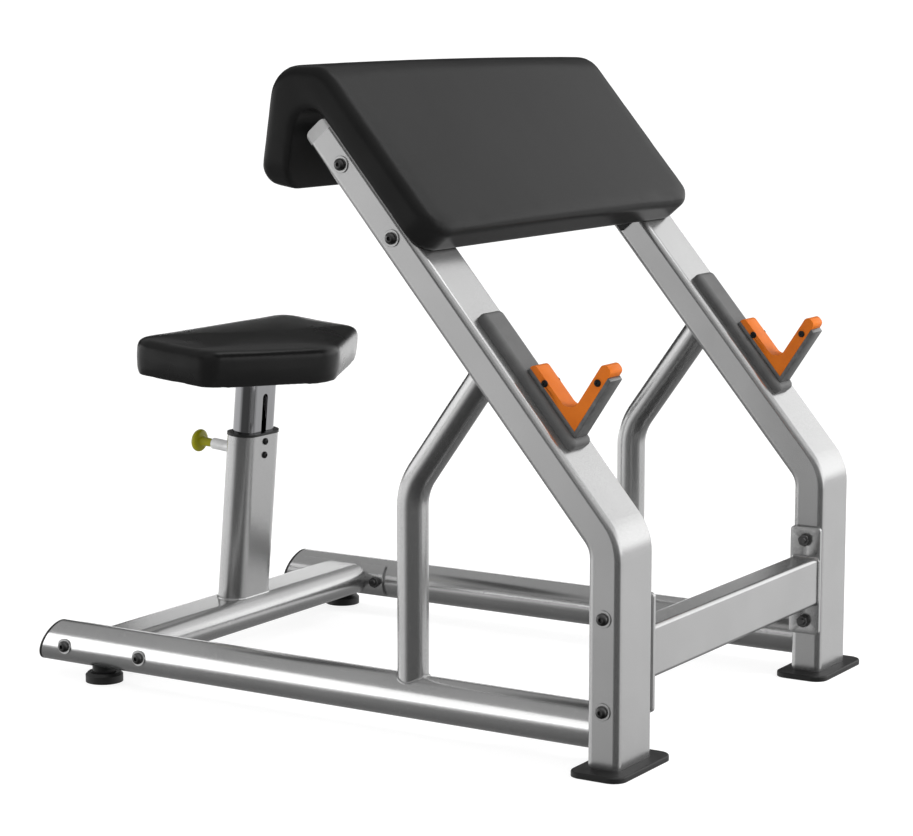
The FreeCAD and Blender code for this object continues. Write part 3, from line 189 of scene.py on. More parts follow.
def silver_paint():
    """Silver powder coat: metal flake, faint orange peel and slow tone changes."""
    material = bpy.data.materials.new("silver_paint")
    tree = Tree(material)
    flake = tree.noise(750, 2, 0.7)
    cloud = tree.noise(9, 3)
    mixed = tree.math("ADD", tree.math("MULTIPLY", flake, 0.75), tree.math("MULTIPLY", cloud, 0.25))
    tree.finish(Base_Color=tree.ramp(mixed, (0.3, grey(0.44)), (0.7, grey(0.6))), Metallic=0.95,
                Roughness=tree.range(flake, 0.2, 0.3),
                Normal=tree.bump(tree.noise(420, 2), 0.08, PEEL_DEPTH))
    return material


def silver_plastic():
    material = bpy.data.materials.new("silver_plastic")
    tree = Tree(material)
    grain = tree.noise(1500, 2)
    tree.finish(Base_Color=tree.ramp(tree.noise(30, 3), (0.3, grey(0.4)), (0.7, grey(0.48))), Metallic=0.5,
                Roughness=tree.range(grain, 0.38, 0.48), Normal=tree.bump(grain, 0.1, GRAIN_DEPTH))
    return material


def chrome():
    material = bpy.data.materials.new("chrome")
    tree = Tree(material)
    haze = tree.noise(40, 4, vector=tree.stretched((1, 1, 0.1)))
    tree.finish(Base_Color=tree.ramp(haze, (0.3, (0.31, 0.31, 0.32)), (0.7, (0.37, 0.37, 0.38))),
                Metallic=1.0, Roughness=tree.range(haze, 0.03, 0.08))
    return material


def moulded(name, low, high, rough, grain_scale=1200, depth=GRAIN_DEPTH, **more):
    """Moulded rubber or plastic: fine grain, a little dust and uneven sheen."""
    material = bpy.data.materials.new(name)
    tree = Tree(material)
    dust = tree.noise(26, 5, 0.6)
    tree.finish(Base_Color=tree.ramp(dust, (0.35, low), (0.75, high)),
                Roughness=tree.range(dust, rough - 0.06, rough + 0.08),
                Normal=tree.bump(tree.noise(grain_scale, 3), 0.3, depth), **more)
    return material


def painted_steel(name, low, high, metallic):
    """Painted or plated steel with slight wear."""
    material = bpy.data.materials.new(name)
    tree = Tree(material)
    wear = tree.noise(90, 5, 0.6)
    tree.finish(Base_Color=tree.ramp(wear, (0.4, grey(low)), (0.75, grey(high))), Metallic=metallic,
                Roughness=tree.range(wear, 0.28, 0.46),
                Normal=tree.bump(tree.noise(1500, 2), 0.1, GRAIN_DEPTH))
    return material


def vinyl(name, low, high, rough, specular):
    """Leatherette: fine pebble grain, faint unevenness and slightly uneven gloss."""
    material = bpy.data.materials.new(name)
    tree = Tree(material)
    pebble = tree.range(tree.cells(750, "DISTANCE_TO_EDGE"), 0, 1, 0, 0.35)
    cloud = tree.noise(7, 4, 0.55)
    skin = tree.bump(pebble, 0.15, PEBBLE_DEPTH)
    skin = tree.bump(tree.noise(2200, 3), 0.1, PORE_DEPTH, skin)
    skin = tree.bump(tree.noise(35, 3), 0.04, WAVE_DEPTH, skin)
    tree.finish(Base_Color=tree.ramp(cloud, (0.3, grey(low)), (0.7, grey(high))),
                Roughness=tree.range(cloud, rough - 0.04, rough + 0.05), Normal=skin,
                Specular_IOR_Level=specular)
    return material


def plywood():
    material = bpy.data.materials.new("plywood")
    tree = Tree(material)
    fibre = tree.noise(60, 6, 0.6, tree.stretched((1, 0.08, 1)))
    colour = tree.ramp(fibre, (0.3, (0.32, 0.2, 0.1)), (0.7, (0.5, 0.36, 0.21)))
    tree.finish(Base_Color=colour, Roughness=0.7, Normal=tree.bump(fibre, 0.3, FIBRE_DEPTH))
    return material


MATERIALS = {
    "silver_paint": silver_paint(),
    "silver_plastic": silver_plastic(),
    "chrome": chrome(),
    "black_rubber": moulded("black_rubber", grey(0.006), grey(0.012), 0.5, 700, RUBBER_DEPTH),
    "black_plastic": moulded("black_plastic", grey(0.006), grey(0.012), 0.4),
    "grey_guard": moulded("grey_guard", grey(0.07), grey(0.1), 0.5, 900),
    "black_steel": painted_steel("black_steel", 0.012, 0.03, 0.6),
    "dark_plate": painted_steel("dark_plate", 0.12, 0.2, 1.0),
    "grey_steel": painted_steel("grey_steel", 0.15, 0.22, 0.7),
    "zinc_plate": painted_steel("zinc_plate", 0.72, 0.82, 0.3),
    "orange_liner": moulded("orange_liner", (0.5, 0.11, 0.003), (0.58, 0.14, 0.005), 0.4,
                            Specular_IOR_Level=0.2),
    "yellow_knob": moulded("yellow_knob", (0.26, 0.25, 0.003), (0.32, 0.3, 0.005), 0.3,
                           Specular_IOR_Level=0.3),
    "arm_vinyl": vinyl("arm_vinyl", 0.008, 0.012, 0.32, 0.115),
    "seat_vinyl": vinyl("seat_vinyl", 0.008, 0.011, 0.28, 0.22),
    "plywood": plywood(),
}


def dress(piece, finish):
    piece.data.materials.clear()
    piece.data.materials.append(MATERIALS[finish])


# Pieces

SHARP_ANGLE = 35


def new_piece(name, bm, slot, body, finish=None):
    """Mesh object from a bmesh: dressed in its finish, or else in its slot's material, and riding on a
    body.
    """
    bmesh.ops.recalc_face_normals(bm, faces=bm.faces)
    mesh = bpy.data.meshes.new(name)
    bm.to_mesh(mesh)
    bm.free()
    mesh.polygons.foreach_set("use_smooth", [True]*len(mesh.polygons))
    mesh.set_sharp_from_angle(angle=math.radians(SHARP_ANGLE))
    piece = bpy.data.objects.new(name, mesh)
    scene.collection.objects.link(piece)
    dress(piece, finish or slot)
    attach(piece, body)
    return piece


def loft(bm, rows, closed=False):
    """Skin a list of closed rows of points; the ends are filled, or joined with closed set."""
    rings = [[bm.verts.new(point) for point in row] for row in rows]
    count = len(rings[0])
    pairs = list(zip(rings, rings[1:]))
    if closed:
        pairs.append((rings[-1], rings[0]))
    for near, far in pairs:
        for i in range(count):
            j = (i + 1) % count
            bm.faces.new((near[i], near[j], far[j], far[i]))
    if not closed:
        bm.faces.new(rings[0])
        bm.faces.new(reversed(rings[-1]))


def ring_reach(radius, angle, flats):
    """Distance to the rim of a round ring, or of one with flats whose corners lie at radius."""
    if not flats:
        return radius
    half = math.pi/flats
    return radius*math.cos(half)/math.cos(angle % (2*half) - half)


ROUND_SIDES = 24
WASHER_SIDES = 32
FINE_SIDES = 48


def lathe(bm, base, axis, profile, sides=ROUND_SIDES, closed=False):
    """Turn a profile of (radius, height) or (radius, height, flats) about an axis."""
    first = axis.orthogonal().normalized()
    second = axis.cross(first)
    rings = []
    for radius, height, *flats in profile:
        middle = base + axis*height
        if radius == 0:
            rings.append([bm.verts.new(middle)]*sides)
            continue
        ring = []
        for i in range(sides):
            angle = 2*math.pi*i/sides
            arm = first*math.cos(angle) + second*math.sin(angle)
            ring.append(bm.verts.new(middle + arm*ring_reach(radius, angle, flats[0] if flats else 0)))
        rings.append(ring)
    pairs = list(zip(rings, rings[1:]))
    if closed:
        pairs.append((rings[-1], rings[0]))
    for near, far in pairs:
        for i in range(sides):
            j = (i + 1) % sides
            corners = list(dict.fromkeys((near[i], near[j], far[j], far[i])))
            bm.faces.new(corners)


def apply_modifiers(piece):
    """Bake a piece's modifiers into its mesh."""
    depsgraph = bpy.context.evaluated_depsgraph_get()
    mesh = bpy.data.meshes.new_from_object(piece.evaluated_get(depsgraph))
    old = piece.data
    piece.modifiers.clear()
    piece.data = mesh
    bpy.data.meshes.remove(old)


MERGE = 0.01*MM
LINER_ROUND = 2.5*MM
BRACKET_ROUND = 1*MM
PLATE_ROUND = 0.8*MM


def softened(node, width, segments=3):
    """The CAD node's form with its sharp edges rounded over."""
    bm = bmesh.new()
    bm.from_mesh(nodes[node].data)
    bmesh.ops.remove_doubles(bm, verts=bm.verts, dist=MERGE)
    piece = new_piece(node + "_rounded", bm, slot_of[node], body_of[node])
    bevel = piece.modifiers.new("bevel", "BEVEL")
    bevel.width = width
    bevel.segments = segments
    bevel.limit_method = "ANGLE"
    bevel.angle_limit = math.radians(SHARP_ANGLE)
    apply_modifiers(piece)
    piece.data.set_sharp_from_angle(angle=math.radians(SHARP_ANGLE))
    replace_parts(piece, node)


# Cloth

VOXEL = 5*MM
PRESSURE = 4
LAST_FRAME = 20
SWELL = 1*MM
SWELL_CAP = 2*MM
EVEN_ROUNDS = 8
COVER = 1*MM


def evened(mesh, values):
    """Values at a mesh's vertices, averaged over their neighbours."""
    edges = [tuple(edge.vertices) for edge in mesh.edges]
    counts = [1]*len(values)
    for first, second in edges:
        counts[first] += 1
        counts[second] += 1
    for step in range(EVEN_ROUNDS):
        sums = list(values)
        for first, second in edges:
            sums[first] += values[second]
            sums[second] += values[first]
        values = [total/count for total, count in zip(sums, counts)]
    return values


def pad_cloth(piece, held):
    """Remesh a pad and let pressure swell its free side; held(point) marks what stays put."""
    form = BVHTree.FromObject(piece, bpy.context.evaluated_depsgraph_get())
    remesh = piece.modifiers.new("remesh", "REMESH")
    remesh.mode = "VOXEL"
    remesh.voxel_size = VOXEL
    apply_modifiers(piece)
    for vertex in piece.data.vertices:
        vertex.co = form.find_nearest(vertex.co)[0]
    piece.data.update()
    rest = [vertex.co.copy() for vertex in piece.data.vertices]
    normals = [vertex.normal.copy() for vertex in piece.data.vertices]
    group = piece.vertex_groups.new(name="held")
    group.add([i for i, point in enumerate(rest) if held(point)], 1, "REPLACE")
    cloth = piece.modifiers.new("cloth", "CLOTH")
    settings = cloth.settings
    settings.vertex_group_mass = "held"
    settings.use_pressure = True
    settings.uniform_pressure_force = PRESSURE
    settings.effector_weights.gravity = 0
    cloth.point_cache.frame_start = 1
    cloth.point_cache.frame_end = LAST_FRAME
    for step in range(1, LAST_FRAME + 1):
        scene.frame_set(step)
    apply_modifiers(piece)
    scene.frame_set(1)
    swells = []
    for vertex, start, normal in zip(piece.data.vertices, rest, normals):
        swells.append(min(max((vertex.co - start).dot(normal), 0), SWELL_CAP))
    swells = evened(piece.data, swells)
    for vertex, start, normal, swell in zip(piece.data.vertices, rest, normals, swells):
        vertex.co = start + normal*swell
    finer = piece.modifiers.new("finer", "SUBSURF")
    finer.levels = finer.render_levels = 1
    apply_modifiers(piece)
    piece.data.polygons.foreach_set("use_smooth", [True]*len(piece.data.polygons))


def retreat(depth, radius):
    """How far a rounded edge has drawn back at a depth below its top."""
    if depth >= radius:
        return 0
    return radius - math.sqrt(radius**2 - (radius - depth)**2)


def arc_points(middle, start, end, count):
    """Points that turn about middle from one arm to the other, both of one length."""
    angle = start.angle(end)
    points = []
    for i in range(count + 1):
        share = i/count
        arm = (start*math.sin((1 - share)*angle) + end*math.sin(share*angle))/math.sin(angle)
        points.append(middle + arm)
    return points


ARC_STEPS = 12


def rounded_row(corners, radii, inset=0):
    """Closed row of points round an outline with rounded corners, set in from it."""
    row = []
    for i, (corner, radius) in enumerate(zip(corners, radii)):
        back = (corners[i - 1] - corner).normalized()
        ahead = (corners[(i + 1) % len(corners)] - corner).normalized()
        half = back.angle(ahead)/2
        middle = corner + (back + ahead).normalized()*(radius/math.sin(half))
        reach = radius/math.tan(half)
        left = (radius - inset)/radius
        start, end = corner + back*reach - middle, corner + ahead*reach - middle
        row += arc_points(middle, start*left, end*left, ARC_STEPS)
    return row


# Arm pad: a slope, a flat-topped crest and a rear flap in one cushion

PAD_THICK = 46*MM
PAD_CROWN = 3*MM
PAD_EDGE = 13*MM
PAD_TUCK = 5*MM
PAD_CORNER = 42*MM
CREST_RADIUS = 43*MM
CREST_FRONT = 46*MM
CREST_REAR = 48*MM
CREST_HOLLOW = 30*MM
PAD_SLOPE = 261*MM
FLAP_LENGTH = 114*MM
BEND_HEIGHT = 302.9*MM
PAD_START = 457*MM
CORNER_STEPS = 8
CROWN_SIDE_SHARES = (-0.75, -0.5, -0.25, 0, 0.25, 0.5, 0.75)

upright_back = span("right_base_rail", AHEAD)[1]
tube_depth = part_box("right_upright")[1].x - upright_back
bend = Vector((upright_back, 0, BEND_HEIGHT))
crest = bend + slope_up*(PAD_START + PAD_SLOPE) + slope_out*(tube_depth + PAD_THICK/2 - CREST_RADIUS)
pad_half_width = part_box("arm_pad_cushion")[1].y - SWELL


def pad_row(side):
    """Section of the arm pad at a distance from its middle."""
    depth = pad_half_width - abs(side)
    drawn = retreat(depth, PAD_CORNER)
    outer = PAD_THICK/2 - SWELL + PAD_CROWN*(1 - (side/pad_half_width)**2) - retreat(depth, PAD_EDGE)
    inner = PAD_THICK/2 + COVER - retreat(depth, PAD_TUCK)
    thin = (outer + inner)/(PAD_THICK + COVER)
    far, near = CREST_RADIUS + outer, CREST_RADIUS - inner
    grow = far/(CREST_RADIUS + PAD_THICK/2)
    slope_end, flap_end = slope_up*(SWELL + drawn - PAD_SLOPE), flap_up*(SWELL + drawn - FLAP_LENGTH)
    between = slope_out + flap_out
    arms = [slope_out*far + slope_end,
            slope_out*far + slope_up*(far*(1 - slope_out.z)/slope_up.z),
            flap_out*far + flap_up*(far*(1 - flap_out.z)/flap_up.z),
            flap_out*far + flap_end,
            flap_out*near + flap_end,
            between*(near*2/between.length_squared),
            slope_out*near + slope_end]
    radii = (PAD_EDGE*thin, CREST_FRONT*grow, CREST_REAR*grow, PAD_EDGE*thin, PAD_TUCK*thin, CREST_HOLLOW,
             PAD_TUCK*thin)
    middle = crest + ACROSS*side
    return rounded_row([middle + arm for arm in arms], radii)


def pad_held(point):
    """True for the side of the arm pad that lies on its boards."""
    arm = point - crest
    return max(arm.dot(slope_out), arm.dot(flap_out)) < CREST_RADIUS - PAD_THICK/2 + VOXEL


def make_arm_pad():
    depths = [PAD_EDGE*(1 - math.cos(math.pi/2*i/CORNER_STEPS)) for i in range(CORNER_STEPS + 1)]
    depths += [PAD_EDGE + (PAD_CORNER - PAD_EDGE)*i/CORNER_STEPS for i in range(1, CORNER_STEPS + 1)]
    sides = [depth - pad_half_width for depth in depths]
    sides += [(pad_half_width - PAD_CORNER)*share for share in CROWN_SIDE_SHARES]
    sides += [pad_half_width - depth for depth in reversed(depths)]
    bm = bmesh.new()
    loft(bm, [pad_row(side) for side in sides])
    pad = new_piece("arm_pad", bm, "arm_vinyl", "frame")
    pad_cloth(pad, pad_held)
    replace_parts(pad, "arm_pad_cushion")


# Seat: a five-sided cushion with a rounded nose

SEAT_REAR = 100*MM
SEAT_SIDE = 157*MM
SEAT_FRONT = 151*MM
SEAT_HALF = 204*MM
SEAT_CORNER = 34*MM
SEAT_NOSE = 85*MM
SEAT_THICK = 57*MM
SEAT_CROWN = 5*MM
SEAT_EDGE = 14*MM
SEAT_TUCK = 5*MM
CROWN_SCALE_SHARES = (0.93, 0.86, 0.78, 0.7, 0.6, 0.5, 0.4, 0.3, 0.2, 0.1)

seat_axis = centre("seat_plate")
seat_base = seat_axis + seat_up*(span("seat_plate", seat_up)[1] - seat_axis.dot(seat_up))


def on_seat(point, level):
    """Place over the seat plate: a point of the plan and a level along the post."""
    return seat_base + seat_front*point.x + ACROSS*point.y + seat_up*level


def seat_row(inset, scale=1):
    """Outline of the seat in plan, set in from its edge and scaled about its middle."""
    shoulder = SEAT_SIDE - SEAT_REAR
    corners = [Vector((-SEAT_REAR, -SEAT_HALF)), Vector((shoulder, -SEAT_HALF)), Vector((SEAT_FRONT, 0)),
               Vector((shoulder, SEAT_HALF)), Vector((-SEAT_REAR, SEAT_HALF))]
    radii = (SEAT_CORNER, SEAT_CORNER, SEAT_NOSE, SEAT_CORNER, SEAT_CORNER)
    middle = Vector(((SEAT_FRONT - SEAT_REAR)/2, 0))
    return [middle + (point - middle)*scale for point in rounded_row(corners, radii, inset)]


def make_seat():
    top = SEAT_THICK - SWELL
    rows = [(SEAT_TUCK + COVER, -COVER, 1), (SEAT_TUCK, SEAT_TUCK/2, 1),
            (SWELL + SEAT_TUCK/3, 2*SEAT_TUCK, 1), (SWELL, SEAT_THICK/2, 1)]
    for i in range(CORNER_STEPS + 1):
        angle = math.pi/2*i/CORNER_STEPS
        rows.append((SWELL + SEAT_EDGE*(1 - math.cos(angle)), top - SEAT_EDGE*(1 - math.sin(angle)), 1))
    for share in CROWN_SCALE_SHARES:
        rows.append((SWELL + SEAT_EDGE, top + SEAT_CROWN*(1 - share**2), share))
    bm = bmesh.new()
    loft(bm, [[on_seat(point, level) for point in seat_row(inset, scale)] for inset, level, scale in rows])
    seat = new_piece("seat_pad", bm, "seat_vinyl", "seat")
    pad_cloth(seat, lambda point: (point - seat_base).dot(seat_up) < SEAT_THICK/4)
    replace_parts(seat, "seat_cushion")


# Bolts, nuts and screws

# Button head with a hexagon socket: shares of its radius and of its rise, and flats
HEAD_SHARES = ((0, 0), (1, 0), (1, 0.35), (0.93, 0.62), (0.75, 0.86), (0.54, 0.97), (0.47, 1),
               (0.42, 1, 6), (0.4, 0.42, 6), (0, 0.36))
# Hexagon nut, chamfered at both ends: shares of its corner radius and of its rise, and flats
NUT_SHARES = ((0.5, 0), (0.86, 0), (1, 0.1, 6), (1, 0.88, 6), (0.86, 1), (0.5, 1))
WASHER_RIM = 0.4*MM
THREAD_PITCH = 1.5*MM
THREAD_DEPTH = 0.4*MM
THREAD_TURNS = 4


def islands(node):
    """Lowest and highest corner of each separate solid of a CAD node."""
    bm = bmesh.new()
    bm.from_mesh(nodes[node].data)
    bmesh.ops.remove_doubles(bm, verts=bm.verts, dist=MERGE)
    left = set(bm.verts)
    boxes = []
    while left:
        reached = [left.pop()]
        for vertex in reached:
            linked = {edge.other_vert(vertex) for edge in vertex.link_edges} & left
            left -= linked
            reached += linked
        corners = [[vertex.co[k] for vertex in reached] for k in range(3)]
        boxes.append((Vector([min(row) for row in corners]), Vector([max(row) for row in corners])))
    bm.free()
    return sorted(boxes, key=lambda box: tuple(box[0]))


def shaped(shares, radius, rise, start=0):
    """Profile from shares of a radius and a rise."""
    return [(share*radius, start + level*rise, *flats) for share, level, *flats in shares]


BOLT_HEAD = 17*MM
BOLT_HEAD_RISE = 6*MM
BOLT_SHANK = 10*MM
WASHER = 24*MM
WASHER_THICK = 2*MM
BOLT_SETS = ("beam_bolts", "pad_bolts", "saddle_bolts")
NUT_SETS = ("beam_nuts", "pad_nuts", "saddle_nuts")


def make_bolts():
    for node in BOLT_SETS:
        heads = bmesh.new()
        washers = bmesh.new()
        for low, high in islands(node):
            middle = (low + high)/2
            side = math.copysign(1, middle.y)
            axis = ACROSS*side
            outer, inner = (high.y, low.y) if side > 0 else (low.y, high.y)
            seat = Vector((middle.x, outer - side*(BOLT_HEAD_RISE + WASHER_THICK), middle.z))
            washer = [(0, 0), (WASHER/2, 0), (WASHER/2, WASHER_THICK - WASHER_RIM),
                      (WASHER/2 - WASHER_RIM, WASHER_THICK), (0, WASHER_THICK)]
            lathe(washers, seat, axis, washer, WASHER_SIDES)
            lathe(heads, seat, axis, shaped(HEAD_SHARES, BOLT_HEAD/2, BOLT_HEAD_RISE, WASHER_THICK))
            end = Vector((middle.x, inner, middle.z))
            thread = [(0, 0), (BOLT_SHANK/2 - 2*THREAD_DEPTH, 0)]
            for turn in range(THREAD_TURNS):
                level = THREAD_PITCH*(turn + 0.5)
                thread += [(BOLT_SHANK/2, level), (BOLT_SHANK/2 - THREAD_DEPTH, level + THREAD_PITCH/2)]
            thread += [(BOLT_SHANK/2, abs(outer - inner)/2), (0, abs(outer - inner)/2)]
            lathe(heads, end, axis, thread)
        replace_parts(new_piece(node + "_heads", heads, slot_of[node], "frame"), node)
        new_piece(node + "_washers", washers, slot_of[node], "frame", "silver_paint")
    for node in NUT_SETS:
        bm = bmesh.new()
        for low, high in islands(node):
            middle = (low + high)/2
            axis = ACROSS*-math.copysign(1, middle.y)
            rise = high.y - low.y
            profile = shaped(NUT_SHARES, (high.x - low.x)/2, rise)
            lathe(bm, middle - axis*(rise/2), axis, profile, closed=True)
        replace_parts(new_piece(node + "_hex", bm, slot_of[node], "frame"), node)


GUIDE_HEAD_RISE = 3.5*MM
HOOK_HEAD_RISE = 2.5*MM
SHANK_SHARE = 0.5


def make_screws(node, axis, rise, ways):
    """Small button-head screws along an axis, with a head at each end that ways names."""
    bm = bmesh.new()
    for low, high in islands(node):
        middle, size = (low + high)/2, high - low
        if axis == ACROSS:
            width, length = size.x, size.y
        else:
            width = size.y
            length = (size.x - width*abs(axis.z))/abs(axis.x)
        for way in ways:
            lathe(bm, middle + axis*(way*(length/2 - rise)), axis*way, shaped(HEAD_SHARES, width/2, rise))
        shank = width/2*SHANK_SHARE
        shank_end = length - len(ways)*rise
        lathe(bm, middle - axis*(length/2 - rise*(len(ways) - 1)), axis,
              [(0, 0), (shank, 0), (shank, shank_end), (0, shank_end)])
    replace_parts(new_piece(node + "_heads", bm, slot_of[node], body_of[node]), node)


# Knob and plunger

# Knob's head: shares of its radius and of its rise
KNOB_SHARES = ((0.44, 0), (0.64, 0.03), (0.86, 0.12), (0.96, 0.23), (1, 0.39), (0.98, 0.55), (0.9, 0.73),
               (0.74, 0.87), (0.5, 0.97), (0.2, 1), (0, 1))
KNOB_HEAD = 15*MM
KNOB_NECK = 14*MM
KNOB_INSERT = 4*MM
BARREL = 18*MM
BARREL_BORE = 14.8*MM
BARREL_NUT = 24*MM
BARREL_NUT_RISE = 7*MM
BARREL_RIM = 1*MM
BARREL_TURNS = 8

pin_axis = -seat_front


def make_plunger():
    middle = centre("pin_shaft")
    level = middle.dot(pin_axis)
    start, end = (reach - level for reach in span("plunger_barrel", pin_axis))
    profile = [(BARREL_BORE/2, start), *shaped(NUT_SHARES[1:-1], BARREL_NUT/2, BARREL_NUT_RISE, start)]
    for turn in range(BARREL_TURNS):
        at = start + BARREL_NUT_RISE + THREAD_PITCH*turn
        profile += [(BARREL/2, at), (BARREL/2 - THREAD_DEPTH, at + THREAD_PITCH/2)]
    profile += [(BARREL/2, (start + end)/2), (BARREL/2, end - BARREL_RIM), (BARREL/2 - BARREL_RIM, end),
                (BARREL_BORE/2, end)]
    bm = bmesh.new()
    lathe(bm, middle, pin_axis, profile, FINE_SIDES, closed=True)
    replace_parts(new_piece("barrel_body", bm, "chrome", "frame", "zinc_plate"), "plunger_barrel")
    neck_start = end - KNOB_INSERT
    knob_end = span("pull_knob", pin_axis)[1] - level
    head = shaped(KNOB_SHARES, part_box("pull_knob")[1].y, KNOB_HEAD, knob_end - KNOB_HEAD)
    neck = [(0, neck_start), (KNOB_NECK/2, neck_start), (KNOB_NECK/2, knob_end - KNOB_HEAD - BARREL_RIM)]
    bm = bmesh.new()
    lathe(bm, middle, pin_axis, neck + head, FINE_SIDES)
    knob = new_piece("knob_body", bm, "yellow_knob", "pull_pin")
    finer = knob.modifiers.new("finer", "SUBSURF")
    finer.levels = finer.render_levels = 1
    apply_modifiers(knob)
    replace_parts(knob, "pull_knob")


# Weld beads

BEAD = 2.2*MM
BEAD_SIDES = 8
BEAD_STEP = 1.3*MM
RIPPLE_STEPS = 3
RIPPLE_SHARE = 0.12


def evenly(points):
    """Points at even steps along a closed line."""
    ends = points[1:] + points[:1]
    lengths = [(end - start).length for start, end in zip(points, ends)]
    step = sum(lengths)/round(sum(lengths)/BEAD_STEP)
    spaced = []
    passed = 0
    for start, end, length in zip(points, ends, lengths):
        while length and len(spaced)*step < passed + length:
            spaced.append(start.lerp(end, (len(spaced)*step - passed)/length))
        passed += length
    return spaced


def make_weld(name, line, middle):
    """Rippled bead along a closed line round a middle."""
    points = evenly(line)
    rows = []
    for i, point in enumerate(points):
        along = (points[(i + 1) % len(points)] - points[i - 1]).normalized()
        out = point - middle
        out = (out - along*out.dot(along)).normalized()
        over = along.cross(out)
        radius = BEAD*(1 + RIPPLE_SHARE*math.sin(2*math.pi*i/RIPPLE_STEPS))
        turns = [2*math.pi*k/BEAD_SIDES for k in range(BEAD_SIDES)]
        rows.append([point + (out*math.cos(turn) + over*math.sin(turn))*radius for turn in turns])
    bm = bmesh.new()
    loft(bm, rows, closed=True)
    new_piece(name, bm, "silver_paint", "frame")


def tube_weld(name, middle, first, second, radius):
    """Bead round the end of a flat-sided tube; first and second reach from its middle to its sides."""
    corners = [middle + first + second, middle - first + second,
               middle - first - second, middle + first - second]
    make_weld(name, rounded_row(corners, [radius]*len(corners)), middle)


BRACE_LEAN = 35.8
BRACE_RADIUS = 22.25*MM
BRACE_BEND_HEIGHT = 352*MM
CIRCLE_STEPS = 72
BEAM_CORNER = 6*MM
SLEEVE_DEPTH = 50*MM
SLEEVE_WIDTH = 100*MM
SLEEVE_CORNER = 24*MM

brace_up = tilted(BRACE_LEAN)
brace_over = Vector((brace_up.z, 0, -brace_up.x))


def make_welds():
    turns = [2*math.pi*i/CIRCLE_STEPS for i in range(CIRCLE_STEPS)]
    for side in ("right", "left"):
        rail = centre(side + "_base_rail")
        rail_low, rail_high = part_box(side + "_base_rail")
        rail_radius = (rail_high.z - rail_low.z)/2
        rail_end = Vector((upright_back, rail.y, rail.z))
        ring = [rail_end + (ACROSS*math.cos(turn) + UP*math.sin(turn))*rail_radius for turn in turns]
        make_weld(side + "_rail_weld", ring, rail_end)
        brace_foot = Vector((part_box(side + "_brace")[0].x + BRACE_RADIUS, rail.y, rail.z))
        brace_bend = Vector((brace_foot.x, rail.y, BRACE_BEND_HEIGHT))
        foot = []
        head = []
        for turn in turns:
            reach = BRACE_RADIUS*math.sin(turn)
            rise = math.sqrt(rail_radius**2 - reach**2)
            foot.append(brace_foot + AHEAD*(BRACE_RADIUS*math.cos(turn)) + ACROSS*reach + UP*rise)
            start = brace_bend + brace_over*(BRACE_RADIUS*math.cos(turn)) + ACROSS*reach
            head.append(start + brace_up*((bend - start).dot(slope_out)/brace_up.dot(slope_out)))
        make_weld(side + "_brace_foot_weld", foot, brace_foot + UP*rail_radius)
        make_weld(side + "_brace_head_weld", head, sum(head, Vector())/len(head))
        beam = centre("front_crossbeam")
        beam_low, beam_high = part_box("front_crossbeam")
        beam_end = Vector((beam.x, beam_high.y if rail.y > 0 else beam_low.y, beam.z))
        tube_weld(side + "_beam_weld", beam_end, AHEAD*((beam_high.x - beam_low.x)/2),
                  UP*((beam_high.z - beam_low.z)/2), BEAM_CORNER)
    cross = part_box("rear_cross_tube")[1]
    axis_point = seat_base + seat_up*((cross.z - seat_base.z)/seat_up.z)
    tube_weld("sleeve_weld", axis_point, AHEAD*(SLEEVE_DEPTH/2/seat_up.z), ACROSS*(SLEEVE_WIDTH/2),
              SLEEVE_CORNER)


# Stage: floor, surroundings and light

FLOOR_RADIUS = 7
BOWL_RADIUS = 5
BOWL_HEIGHT = 9
BOWL_STEPS = 24
BOWL_SIDES = 96
FLOOR_DROP = 0.5*MM


def make_stage():
    """Floor that curves up into a wall all round, out of sight for reflections."""
    profile = [(0, 0), (FLOOR_RADIUS, 0)]
    for i in range(1, BOWL_STEPS + 1):
        angle = math.pi/2*i/BOWL_STEPS
        profile.append((FLOOR_RADIUS + BOWL_RADIUS*math.sin(angle), BOWL_RADIUS*(1 - math.cos(angle))))
    profile.append((FLOOR_RADIUS + BOWL_RADIUS, BOWL_HEIGHT))
    bm = bmesh.new()
    lathe(bm, UP*-FLOOR_DROP, UP, profile, BOWL_SIDES)
    mesh = bpy.data.meshes.new("floor")
    bm.to_mesh(mesh)
    bm.free()
    mesh.polygons.foreach_set("use_smooth", [True]*len(mesh.polygons))
    floor = bpy.data.objects.new("floor", mesh)
    scene.collection.objects.link(floor)
    material = bpy.data.materials.new("floor")
    tree = Tree(material)
    tone = tree.ramp(tree.noise(3, 3), (0.3, grey(0.3)), (0.7, grey(0.33)))
    tree.finish(Base_Color=tone, Roughness=0.9, Emission_Color=(1, 1, 1, 1), Emission_Strength=0.82)
    mesh.materials.append(material)
    floor.visible_glossy = False


LIGHT_TARGET = Vector((0, 0, 0.45))


def soft_light(name, place, size, radiance, mirrored):
    """Area light of the given radiance; its panel shows in reflections with mirrored set."""
    data = bpy.data.lights.new(name, "AREA")
    data.shape = "RECTANGLE"
    data.size, data.size_y = size
    data.energy = radiance*math.pi*size[0]*size[1]
    light = bpy.data.objects.new(name, data)
    light.location = place
    light.visible_camera = False
    light.visible_glossy = mirrored
    light.rotation_euler = (LIGHT_TARGET - Vector(place)).to_track_quat("-Z", "Y").to_euler()
    scene.collection.objects.link(light)
    return light


# Panels: name, place, width and height, radiance, and whether they show in reflections
PANELS = (
    ("overhead", (1.0, 1.0, 3.2), (1.6, 1.6), 2.0, True),
    ("left", (-3.2, -1.5, 1.0), (3.4, 0.9), 1.6, True),
    ("low", (-1.1, 1.75, 0.38), (1.5, 0.5), 1.25, True),
    ("key", (2.4, 0.9, 1.9), (0.6, 0.6), 40.0, False),
)
